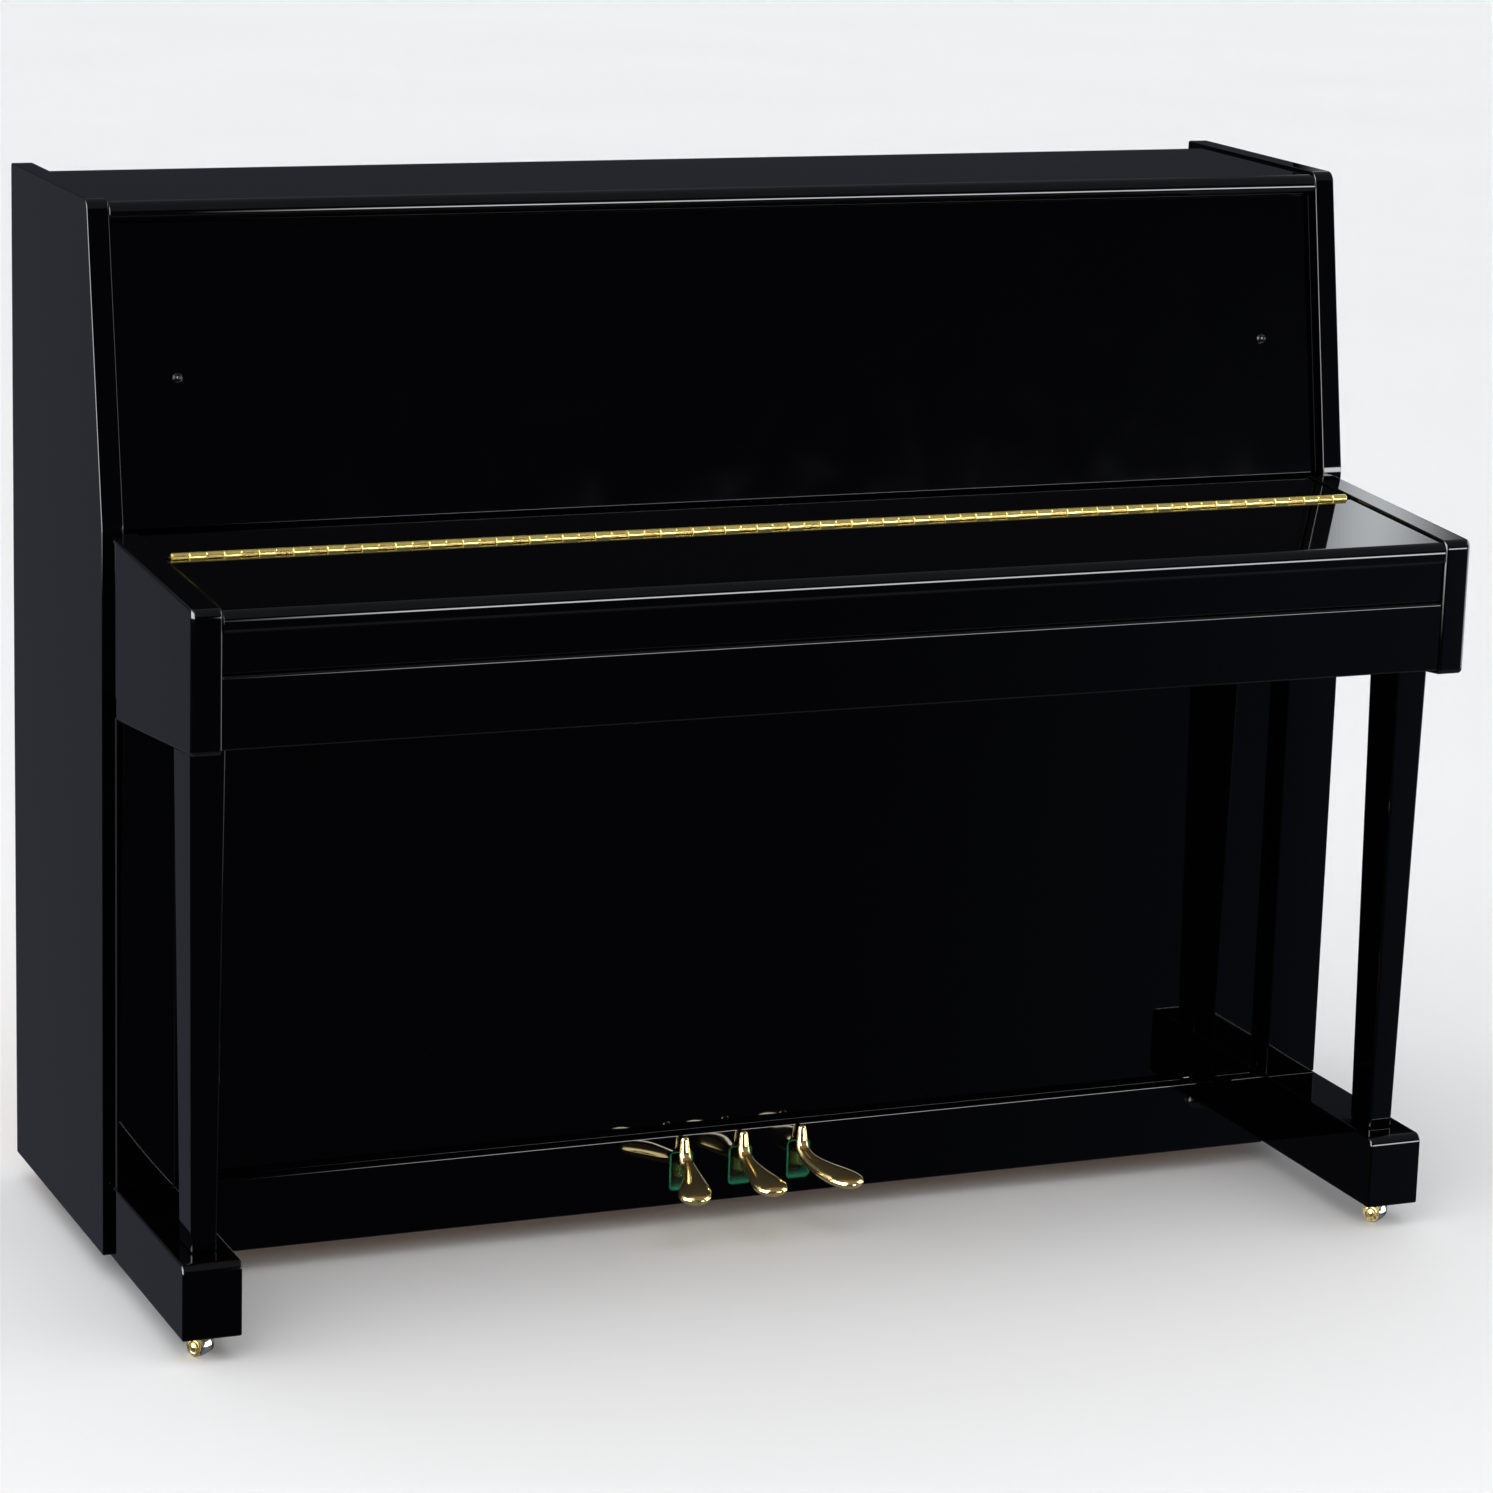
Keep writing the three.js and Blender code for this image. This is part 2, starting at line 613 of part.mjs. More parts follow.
// The windows between the struts, each a strip of the frame from foot to pin field.
const STRUTS = [-PLATE_HALF + PLATE_RIM, -250, 80, 400, PLATE_HALF - PLATE_RIM];
const STRUT_HALF = 11;
const WINDOW_LOW = PLATE_LOW + 70;
const WINDOW_HIGH = 850;
function ironPlate() {
  const web = outline([
    [-PLATE_HALF, PLATE_LOW, 20],
    [PLATE_HALF, PLATE_LOW, 20],
    [PLATE_HALF, PLATE_HIGH, 20],
    [-PLATE_HALF, PLATE_HIGH, 20],
  ]);
  for (let k = 0; k + 1 < STRUTS.length; k += 1) {
    const x0 = STRUTS[k] + (k > 0 ? STRUT_HALF : 0);
    const x1 = STRUTS[k + 1] - (k + 2 < STRUTS.length ? STRUT_HALF : 0);
    web.holes.push(outline([
      [x0, WINDOW_LOW, 30],
      [x1, WINDOW_LOW, 30],
      [x1, WINDOW_HIGH, 30],
      [x0, WINDOW_HIGH, 30],
    ]));
  }
  const rimDeep = [PLATE_FRONT + PLATE_T - 1, POST_FRONT - 9 - GAP];
  const rim = [
    block([-PLATE_HALF, -PLATE_HALF + PLATE_RIM], rimDeep, [PLATE_LOW + 30, PLATE_HIGH - 30]),
    block([PLATE_HALF - PLATE_RIM, PLATE_HALF], rimDeep, [PLATE_LOW + 30, PLATE_HIGH - 30]),
    block([-PLATE_HALF + 20, PLATE_HALF - 20], rimDeep, [PLATE_LOW + 2, PLATE_LOW + 32]),
  ];
  return join(alongY(web, PLATE_FRONT, PLATE_FRONT + PLATE_T), ...rim);
}
put('iron_plate', ironPlate(), IRON);

put('pin_block', block(
  [-PLATE_HALF + PLATE_RIM + GAP, PLATE_HALF - PLATE_RIM - GAP],
  [PLATE_FRONT + PLATE_T + GAP, POST_FRONT - 9 - GAP],
  [WINDOW_HIGH + 20, PLATE_HIGH - 10],
), BEECH);

// Hammer rail on four brackets, with the hammers standing on it.
function action() {
  const [railFront, railBack] = ACTION_RAIL_Y;
  const [railLow, railTop] = ACTION_RAIL_Z;
  const rail = block([-KEYS_HALF, KEYS_HALF], ACTION_RAIL_Y, ACTION_RAIL_Z);
  const brackets = BRACKET_X.map((x) => block(
    [x - BRACKET_HALF, x + BRACKET_HALF],
    [railFront - 2, railBack + 2],
    [BED_TOP + GAP, railLow + 3],
  ));
  const shank = [railFront + 9, railFront + 15];
  const head = [railFront + 2, railFront + 54];
  const hammers = Array.from({ length: HAMMERS }, (_, i) => {
    const x = -KEYS_HALF + ((i + 0.5) * 2 * KEYS_HALF) / HAMMERS;
    return alongX([
      [shank[0], railTop - 4],
      [shank[1], railTop - 4],
      [shank[1], HAMMER_TOP - 19],
      [head[1], HAMMER_TOP - 16],
      [head[1], HAMMER_TOP - 4],
      [head[0], HAMMER_TOP],
      [head[0], HAMMER_TOP - 14],
      [shank[0], HAMMER_TOP - 19],
    ], x - HAMMER_HALF, x + HAMMER_HALF);
  });
  return join(rail, ...brackets, ...hammers);
}
put('hammer_action', action(), FELT);

// ---- pedals ---------------------------------------------------------------------------------------------
const PEDAL_TIP = -160;
const PEDAL_BEND = -75;
const PEDAL_SOLE = 57;
const PEDAL_SOLE_T = 14;
const PEDAL_CURVE = 1.5;
function pedal(sway) {
  const neck = [
    [PEDAL_PIVOT_Y + 16, 52, 3],
    [PEDAL_PIVOT_Y + 16, 68, 3],
    [PLINTH_FRONT - 2, 69],
    [PLINTH_FRONT - 2, TOE_TOP, 4],
    [PLINTH_FRONT - 11, TOE_TOP, 4],
    [PLINTH_FRONT - 13, 85],
    [PLINTH_FRONT - 21, 77],
    [-120, 70],
    [-120, 60],
    [PLINTH_FRONT - 21, 59],
    [PLINTH_FRONT - 5, 52],
  ];
  const sole = [
    [7.5, -86],
    [11, -104],
    [15, -124],
    [17.5, -140],
    [14, PEDAL_TIP, 10],
    [-14, PEDAL_TIP, 10],
    [-17.5, -140],
    [-15, -124],
    [-11, -104],
    [-7.5, -86],
  ];
  const whole = surface(
    solid(alongX(neck, -PEDAL_W / 2, PEDAL_W / 2))
      .add(solid(alongZ(sole, PEDAL_SOLE, PEDAL_SOLE + PEDAL_SOLE_T)))
      .subtract(solid(rodX(PEDAL_PIN_R + GAP, -PEDAL_W, PEDAL_W, PEDAL_PIVOT_Y, PEDAL_PIVOT_Z))),
  );
  // The outer pedals curve away from the middle one towards their tips.
  const at = whole.attributes.position;
  for (let i = 0; i < at.count; i += 1) {
    const along = Math.max(0, PEDAL_BEND - at.getY(i)) / (PEDAL_BEND - PEDAL_TIP);
    at.setX(i, at.getX(i) + sway * along ** PEDAL_CURVE);
  }
  whole.computeVertexNormals();
  return whole;
}
const PEDAL_SWAY = 26;
['soft', 'practice', 'damper'].forEach((word, i) => {
  const mesh = put(`${word}_pedal`, pedal((i - 1) * PEDAL_SWAY), BRASS);
  mesh.position.x = pedalX[i];
});

function pedalBracket() {
  const half = PEDAL_PITCH + 20;
  const deep = [PEDAL_PIVOT_Y - 9, PEDAL_PIVOT_Y + 9];
  const floor = CASE_BOTTOM + BOTTOM_BOARD_T + GAP;
  const uprights = pedalX.flatMap((x) => [-1, 1].map((side) => block(
    mirrored(side, PEDAL_W / 2 + 1, PEDAL_W / 2 + 5).map((edge) => edge + x),
    deep,
    [floor + 1, PEDAL_PIVOT_Z + 8],
  )));
  return join(
    block([PEDAL_MIDDLE - half, PEDAL_MIDDLE + half], deep, [floor, floor + 4]),
    rodX(PEDAL_PIN_R, PEDAL_MIDDLE - half + 6, PEDAL_MIDDLE + half - 6, PEDAL_PIVOT_Y, PEDAL_PIVOT_Z),
    ...uprights,
  );
}
put('pedal_pivot_bracket', pedalBracket(), STEEL);

// ---- casters ----------------------------------------------------------------------------------------------
function casterFork() {
  const cheek = WHEEL_W / 2 + 1;
  const horns = [-1, 1].map((side) => alongX([
    [TRAIL - CHEEK_R, CROWN_TOP - 1],
    [TRAIL + CHEEK_R, CROWN_TOP - 1],
    [TRAIL + CHEEK_R, WHEEL_R - CHEEK_R, CHEEK_R - 0.5],
    [TRAIL - CHEEK_R, WHEEL_R - CHEEK_R, CHEEK_R - 0.5],
  ], ...mirrored(side, cheek, cheek + 2)));
  return join(
    rodZ(12, CROWN_BOTTOM, CROWN_TOP, 0, 0),
    block([-cheek - 2, cheek + 2], [0, TRAIL + CHEEK_R], [CROWN_BOTTOM, CROWN_TOP]),
    rodZ(STEM_R, CROWN_BOTTOM + 1, STEM_TOP, 0, 0, 12),
    rodX(AXLE_R, -cheek - 3, cheek + 3, TRAIL, WHEEL_R),
    ...horns,
  );
}

function casterWheel() {
  const half = WHEEL_W / 2;
  const bore = AXLE_R + GAP;
  const tread = [
    [bore, -half],
    [WHEEL_R - 3, -half],
    [WHEEL_R, -half + 3],
    [WHEEL_R, half - 3],
    [WHEEL_R - 3, half],
    [bore, half],
    [bore, -half],
  ];
  return new THREE.LatheGeometry(tread.map(([r, x]) => new THREE.Vector2(r, x)), 24)
    .rotateZ(-Math.PI / 2)
    .translate(0, TRAIL, WHEEL_R);
}

const casterSpots = {
  left_front: [-CASTER_X, CASTER_FRONT_Y],
  right_front: [CASTER_X, CASTER_FRONT_Y],
  left_rear: [-CASTER_BACK_X, CASTER_BACK_Y],
  right_rear: [CASTER_BACK_X, CASTER_BACK_Y],
};
for (const [word, [x, y]] of Object.entries(casterSpots)) {
  const caster = new THREE.Group();
  caster.position.set(x, y, 0);
  caster.rotation.z = CASTER_TURN;
  put(`${word}_caster_fork`, casterFork(), BRASS, caster);
  put(`${word}_caster_wheel`, casterWheel(), STEEL, caster);
  piano.add(caster);
}

export default piano;
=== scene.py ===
"""Upright piano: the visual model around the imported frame. Metres; front at -Y, bass end at -X, +Z up."""

import json
import math
import random

import bmesh
import bpy
from mathutils import Matrix, Vector

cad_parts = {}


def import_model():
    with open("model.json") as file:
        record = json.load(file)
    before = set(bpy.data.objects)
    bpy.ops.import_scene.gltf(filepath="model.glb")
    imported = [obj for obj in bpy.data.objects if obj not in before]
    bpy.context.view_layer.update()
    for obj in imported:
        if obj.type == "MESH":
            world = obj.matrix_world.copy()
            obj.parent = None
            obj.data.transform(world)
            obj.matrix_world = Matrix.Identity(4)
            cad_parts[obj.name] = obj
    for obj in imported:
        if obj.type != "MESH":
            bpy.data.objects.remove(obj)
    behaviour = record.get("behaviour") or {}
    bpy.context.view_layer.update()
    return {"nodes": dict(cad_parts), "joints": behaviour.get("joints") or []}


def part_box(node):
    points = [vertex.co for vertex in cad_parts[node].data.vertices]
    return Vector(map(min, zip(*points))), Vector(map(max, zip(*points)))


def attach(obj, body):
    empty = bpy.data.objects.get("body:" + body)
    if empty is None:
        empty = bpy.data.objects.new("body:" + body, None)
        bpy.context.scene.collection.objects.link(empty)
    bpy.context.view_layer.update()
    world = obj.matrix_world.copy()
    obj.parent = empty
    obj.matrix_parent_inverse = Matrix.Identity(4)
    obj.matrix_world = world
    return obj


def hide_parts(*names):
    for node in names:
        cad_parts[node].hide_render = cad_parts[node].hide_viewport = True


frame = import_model()
scene = bpy.context.scene

# ---- driving sizes ------------------------------------------------------------------------
EDGE = 0.0016  # rounding of the lacquered edges
GAP = 0.0003
BEND_Z = 0.774  # where the case front starts to lean back
BOARD_T = 0.018
FALL_SLOPE = 0.016 / 0.290  # the fallboard and the arm tops fall this much to the front
NATURALS = 52
KEY_PITCH = 1.225 / NATURALS
MIDDLE_C = 23  # counted in natural keys from the lowest A
OCTAVE = 7
SHARP_OFFSET = {"a": 0.0035, "c": -0.0025, "d": 0.0025, "f": -0.0035, "g": 0.0}
HINGE_SEGMENTS = 74
STRING_NOTES = 88
BASS_NOTES, SINGLE_NOTES = 28, 10  # from the lowest note: wound strings, and one string to a note
RIB_ANGLE = 42  # degrees between the soundboard's ribs and the floor
MM = 0.001

SIDES = ((-1, "left"), (1, "right"))


# ---- mesh helpers -------------------------------------------------------------------------
def outline(corners, steps=10):
    """Points of a closed outline; a corner (u, v, radius) becomes an arc."""
    points = []
    for i, corner in enumerate(corners):
        here = Vector(corner[:2])
        radius = corner[2] if len(corner) > 2 else 0
        if not radius:
            points.append(here)
            continue
        to_before = (Vector(corners[i - 1][:2]) - here).normalized()
        to_after = (Vector(corners[(i + 1) % len(corners)][:2]) - here).normalized()
        half = to_before.angle(to_after) / 2
        centre = here + (to_before + to_after).normalized() * (radius / math.sin(half))
        start = here + to_before * (radius / math.tan(half)) - centre
        end = here + to_after * (radius / math.tan(half)) - centre
        sweep = math.atan2(start.x * end.y - start.y * end.x, start.dot(end))
        points += [centre + Matrix.Rotation(sweep * k / steps, 2) @ start for k in range(steps + 1)]
    return points


def rounded_profile(corners, steps=6):
    return [(p.x, p.y) for p in outline(corners, steps)]


def joint(name):
    return next(j for j in frame["joints"] if j["name"] == name)


PLACE = {
    "x": lambda u, v, w: Vector((w, u, v)),
    "y": lambda u, v, w: Vector((u, w, v)),
    "z": lambda u, v, w: Vector((u, v, w)),
}


def bevel_sharp(mesh, edge, segments=3, above=30):
    sharp = [e for e in mesh.edges if len(e.link_faces) == 2 and e.calc_face_angle() > math.radians(above)]
    bmesh.ops.bevel(mesh, geom=sharp, offset=edge, segments=segments, profile=0.5, affect="EDGES",
                    clamp_overlap=True)


def skin(mesh, rings):
    """Closes a shape over rings of corners: a face on each end and quads between neighbours."""
    mesh.faces.new(rings[0])
    mesh.faces.new(rings[-1])
    for before, after in zip(rings, rings[1:]):
        for i in range(len(before)):
            j = (i + 1) % len(before)
            mesh.faces.new((before[i], before[j], after[j], after[i]))
    bmesh.ops.recalc_face_normals(mesh, faces=mesh.faces)


def prism(corners, axis, low, high, edge=0.0, segments=3, mesh=None):
    """An outline drawn across an axis and pushed along it, with its sharp edges rounded."""
    new = bmesh.new()
    points = outline(corners)
    skin(new, [[new.verts.new(PLACE[axis](p.x, p.y, w)) for p in points] for w in (low, high)])
    if edge:
        bevel_sharp(new, edge, segments)
    return new if mesh is None else merge(mesh, new)


def finished(name, mesh):
    """Mesh data with mesh's geometry; mesh is freed."""
    data = bpy.data.meshes.new(name)
    mesh.to_mesh(data)
    mesh.free()
    return data


def show(name, data):
    """An object in the scene with this data."""
    obj = bpy.data.objects.new(name, data)
    scene.collection.objects.link(obj)
    return obj


def merge(mesh, other):
    """Adds other's geometry to mesh and frees other."""
    data = finished("part", other)
    mesh.from_mesh(data)
    bpy.data.meshes.remove(data)
    return mesh


def board(x, y, z, edge=0.0, segments=2, mesh=None):
    """A board between pairs of limits."""
    corners = [(y[0], z[0]), (y[1], z[0]), (y[1], z[1]), (y[0], z[1])]
    return prism(corners, "x", x[0], x[1], edge, segments, mesh)


def box_board(node, edge, grow=0.0):
    low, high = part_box(node)
    return board(*[(low[i] - grow, high[i] + grow) for i in range(3)], edge)


def lathe(profile, steps=32, mesh=None):
    """Turns a closed profile of (radius, height) round the Z axis."""
    new = bmesh.new()
    rings = []
    for radius, height in profile:
        if radius < 1e-7:
            rings.append([new.verts.new((0, 0, height))])
            continue
        turn = [2 * math.pi * k / steps for k in range(steps)]
        rings.append([new.verts.new((radius * math.cos(a), radius * math.sin(a), height)) for a in turn])
    pairs = list(zip(rings, rings[1:]))
    if len(rings[0]) > 1:
        pairs.append((rings[-1], rings[0]))
    for lower, upper in pairs:
        for k in range(steps):
            loop = [lower[k % len(lower)], lower[(k + 1) % len(lower)],
                    upper[(k + 1) % len(upper)], upper[k % len(upper)]]
            corners = list(dict.fromkeys(loop))
            if len(corners) > 2:
                new.faces.new(corners)
    bmesh.ops.recalc_face_normals(new, faces=new.faces)
    return new if mesh is None else merge(mesh, new)


def sweep(stations, sides=24, mesh=None):
    """A closed skin through stations (centre, across, upward, half width, half height, squareness)."""
    new = bmesh.new()
    rings = []
    for centre, across, upward, wide, high, square in stations:
        ring = []
        for k in range(sides):
            a = 2 * math.pi * k / sides
            c, s = math.cos(a), math.sin(a)
            u = math.copysign(abs(c) ** square, c) * wide
            v = math.copysign(abs(s) ** square, s) * high
            ring.append(new.verts.new(centre + across * u + upward * v))
        rings.append(ring)
    skin(new, rings)
    return new if mesh is None else merge(mesh, new)


def rod(start, end, radius, sides=12, mesh=None, taper=1.0):
    """A round bar between two points."""
    start, end = Vector(start), Vector(end)
    along = (end - start).normalized()
    across = along.orthogonal().normalized()
    upward = along.cross(across)
    ends = ((start, radius), (end, radius * taper))
    return sweep([(centre, across, upward, size, size, 1) for centre, size in ends], sides, mesh)


def turned(mesh, matrix):
    bmesh.ops.transform(mesh, matrix=matrix, verts=mesh.verts)
    return mesh


def piece(name, mesh, look, body="case", replaces=(), crease=40):
    """Makes the object, shades it, ties it to its body, and hides the CAD nodes it stands for."""
    material, slot = LOOKS[look]
    bmesh.ops.remove_doubles(mesh, verts=mesh.verts, dist=1e-7)
    data = finished(name, mesh)
    data.polygons.foreach_set("use_smooth", [True] * len(data.polygons))
    data.set_sharp_from_angle(angle=math.radians(crease))
    data.materials.append(material)
    obj = show(name, data)
    weighted = obj.modifiers.new("even normals", "WEIGHTED_NORMAL")
    weighted.keep_sharp = True
    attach(obj, body)
    if replaces:
        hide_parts(*replaces)
    return obj


def lacquered(node, mesh, body="case"):
    """A black lacquered piece that stands for one CAD node."""
    return piece(f"{node}_lacquered", mesh, "lacquer", body, (node,))


def cut_out(mesh, tools):
    """Takes the tools' closed shapes out of mesh, exactly."""
    body = show("cutter", finished("cutter", mesh))
    for tool in [show("cutter", finished("cutter", t)) for t in tools]:
        cut = body.modifiers.new("cut", "BOOLEAN")
        cut.operation = "DIFFERENCE"
        cut.solver = "EXACT"
        cut.object = tool
    depsgraph = bpy.context.evaluated_depsgraph_get()
    result = bmesh.new()
    result.from_object(body, depsgraph)
    for obj in [m.object for m in body.modifiers] + [body]:
        bpy.data.objects.remove(obj)
    return result


# ---- materials ----------------------------------------------------------------------------
class Graph:
    """Shader nodes being put together in one tree."""

    def __init__(self, tree):
        self.tree = tree

    def node(self, kind, **values):
        made = self.tree.nodes.new(kind)
        for name, value in values.items():
            setattr(made, name, value)
        return made

    def link(self, output, target):
        self.tree.links.new(output, target)

    def calculate(self, kind, operation, values):
        """The result of a maths node; a value is a constant or another node's output."""
        made = self.node(kind, operation=operation)
        for socket, value in zip(made.inputs, values):
            if isinstance(value, bpy.types.NodeSocket):
                self.link(value, socket)
            else:
                socket.default_value = value
        return made.outputs["Value" if operation == "DOT_PRODUCT" else 0]

    def math(self, operation, *values):
        return self.calculate("ShaderNodeMath", operation, values)

    def vector(self, operation, *values):
        return self.calculate("ShaderNodeVectorMath", operation, values)

    def product(self, factors):
        made = factors[0]
        for factor in factors[1:]:
            made = self.math("MULTIPLY", made, factor)
        return made

    def fade(self, value, zero, one):
        """Rises smoothly from 0 to 1 while value goes from zero to one."""
        spread = self.node("ShaderNodeMapRange", interpolation_type="SMOOTHSTEP")
        spread.inputs["From Min"].default_value = zero
        spread.inputs["From Max"].default_value = one
        self.link(value, spread.inputs["Value"])
        return spread.outputs["Result"]


class Paint(Graph):
    """A procedural material being put together on one Principled shader."""

    def __init__(self, name, color, rough, metallic=0.0, **sockets):
        self.material = bpy.data.materials.new(name)
        self.material.use_nodes = True
        super().__init__(self.material.node_tree)
        self.shader = self.tree.nodes["Principled BSDF"]
        self.shader.inputs["Base Color"].default_value = (*color, 1)
        self.shader.inputs["Roughness"].default_value = rough
        self.shader.inputs["Metallic"].default_value = metallic
        for socket, value in sockets.items():
            self.shader.inputs[socket.replace("_", " ")].default_value = value
        self.place = self.node("ShaderNodeTexCoord").outputs["Object"]

    def noise(self, size, detail=3.0, stretch=(1, 1, 1), turn=(0, 0, 0)):
        """Noise whose features are about size metres wide, stretched along the axes."""
        mapping = self.node("ShaderNodeMapping")
        mapping.inputs["Rotation"].default_value = turn
        mapping.inputs["Scale"].default_value = [1 / (size * s) for s in stretch]
        self.link(self.place, mapping.inputs["Vector"])
        texture = self.node("ShaderNodeTexNoise")
        texture.inputs["Scale"].default_value = 1.0
        texture.inputs["Detail"].default_value = detail
        self.link(mapping.outputs["Vector"], texture.inputs["Vector"])
        return texture.outputs["Fac"]

    def ramp(self, factor, stops):
        ramp = self.node("ShaderNodeValToRGB")
        elements = ramp.color_ramp.elements
        while len(elements) < len(stops):
            elements.new(0.5)
        for element, (at, color) in zip(elements, stops):
            element.position = at
            element.color = (*color, 1)
        self.link(factor, ramp.inputs["Fac"])
        return ramp.outputs["Color"]

    def colors(self, factor, stops):
        self.link(self.ramp(factor, stops), self.shader.inputs["Base Color"])
        return self

    def roughness(self, factor, low, high):
        spread = self.node("ShaderNodeMapRange")
        spread.inputs["From Min"].default_value = 0.3
        spread.inputs["From Max"].default_value = 0.7
        spread.inputs["To Min"].default_value = low
        spread.inputs["To Max"].default_value = high
        self.link(factor, spread.inputs["Value"])
        self.link(spread.outputs["Result"], self.shader.inputs["Roughness"])
        return self

    def bump(self, height, depth, strength=1.0):
        bump = self.node("ShaderNodeBump")
        bump.inputs["Distance"].default_value = depth
        bump.inputs["Strength"].default_value = strength
        self.link(height, bump.inputs["Height"])
        previous = self.shader.inputs["Normal"]
        if previous.is_linked:
            self.link(previous.links[0].from_socket, bump.inputs["Normal"])
        self.link(bump.outputs["Normal"], self.shader.inputs["Normal"])
        return self


def lacquer():
    """Polished black polyester: a very slight waviness, and fine dust and polishing haze in the gloss."""
    paint = Paint("black polyester lacquer", (0.0004, 0.0004, 0.0006), 0.03, IOR=1.5)
    paint.roughness(paint.noise(0.05, 6.0), 0.015, 0.05)
    paint.bump(paint.noise(0.16, 1.0), 0.00002)
    return paint.material


def brass(name, rough, tint, metallic, brushed=None):
    """Lacquered brass: slow changes of tone and fine wear; brushed ones carry lines along X."""
    dark = tuple(c * 0.93 for c in tint)
    paint = Paint(name, tint, rough[0], metallic)
    paint.colors(paint.noise(0.012, 3.0), [(0.35, dark), (0.65, tint)])
    paint.roughness(paint.noise(0.02, 4.0), *rough)
    if brushed:
        paint.bump(paint.noise(0.0006, 2.0, brushed), 0.000012, 0.5)
    return paint.material


def steel():
    paint = Paint("polished steel", (0.72, 0.73, 0.75), 0.12, 1.0)
    paint.roughness(paint.noise(0.006, 4.0), 0.08, 0.2)
    paint.bump(paint.noise(0.0008, 2.0), 0.000008)
    return paint.material


def rubber():
    paint = Paint("rubber", (0.006, 0.006, 0.007), 0.18)
    paint.roughness(paint.noise(0.002), 0.13, 0.22)
    paint.bump(paint.noise(0.0007), 0.00005)
    return paint.material


def ivory():
    paint = Paint("white key covering", (0.83, 0.81, 0.74), 0.18, IOR=1.49)
    paint.colors(paint.noise(0.05, 2.0, (1, 6, 1)),
                 [(0.3, (0.80, 0.775, 0.70)), (0.7, (0.85, 0.835, 0.775))])
    paint.roughness(paint.noise(0.004, 4.0), 0.14, 0.24)
    return paint.material


def sharp_black():
    paint = Paint("black key covering", (0.008, 0.008, 0.009), 0.3)
    paint.roughness(paint.noise(0.0015, 3.0, (1, 14, 1)), 0.24, 0.4)
    paint.bump(paint.noise(0.0006, 3.0, (1, 20, 1)), 0.00003)
    return paint.material


def wood(name, light, dark, along, turn=(0, 0, 0), ring=0.006, rough=(0.42, 0.6)):
    """Planed wood: growth lines, pores and slow changes of colour along the grain."""
    paint = Paint(name, light, rough[0])
    lines = paint.noise(ring, 2.5, along, turn)
    pores = paint.noise(ring * 0.16, 2.0, tuple(a * 1.6 for a in along), turn)
    middle = tuple((a + b) / 2 for a, b in zip(light, dark))
    mix = paint.node("ShaderNodeMix", data_type="RGBA", blend_type="MULTIPLY")
    mix.inputs["Factor"].default_value = 0.55
    paint.link(paint.ramp(lines, [(0.3, dark), (0.5, middle), (0.62, light)]), mix.inputs["A"])
    paint.link(paint.ramp(pores, [(0.38, (0.55, 0.48, 0.4)), (0.56, (1, 1, 1))]), mix.inputs["B"])
    paint.link(mix.outputs["Result"], paint.shader.inputs["Base Color"])
    paint.roughness(lines, *rough)
    paint.bump(pores, 0.00012, 0.6)
    return paint.material


def iron():
    """Bronze paint on cast iron, with the grain of the casting showing through."""
    paint = Paint("bronzed cast iron", (0.55, 0.40, 0.16), 0.36, 0.75)
    paint.colors(paint.noise(0.03, 4.0), [(0.3, (0.44, 0.31, 0.12)), (0.7, (0.62, 0.46, 0.2))])
    paint.roughness(paint.noise(0.004), 0.3, 0.5)
    paint.bump(paint.noise(0.0022, 4.0), 0.00025)
    return paint.material


def felt(name, color):
    """Pressed wool: matted fibres in colour and height, with a soft sheen."""
    dark = tuple(c * 0.62 for c in color)
    paint = Paint(name, color, 0.95, Sheen_Weight=0.08, Sheen_Roughness=0.5)
    fibres = paint.noise(0.0009, 6.0)
    paint.colors(fibres, [(0.3, dark), (0.62, color)])
    paint.bump(fibres, 0.0004)
    return paint.material


def copper_wound():
    paint = Paint("copper winding", (0.72, 0.36, 0.2), 0.3, 1.0)
    paint.colors(paint.noise(0.02), [(0.3, (0.6, 0.28, 0.15)), (0.7, (0.78, 0.42, 0.25))])
    paint.bump(paint.noise(0.0009, 1.0, (8, 8, 0.5)), 0.00012)
    return paint.material


def studio_floor():
    paint = Paint("pale floor", (0.86, 0.86, 0.86), 0.8)
    paint.colors(paint.noise(0.9, 3.0), [(0.3, (0.855, 0.857, 0.86)), (0.7, (0.875, 0.875, 0.875))])
    return paint.material


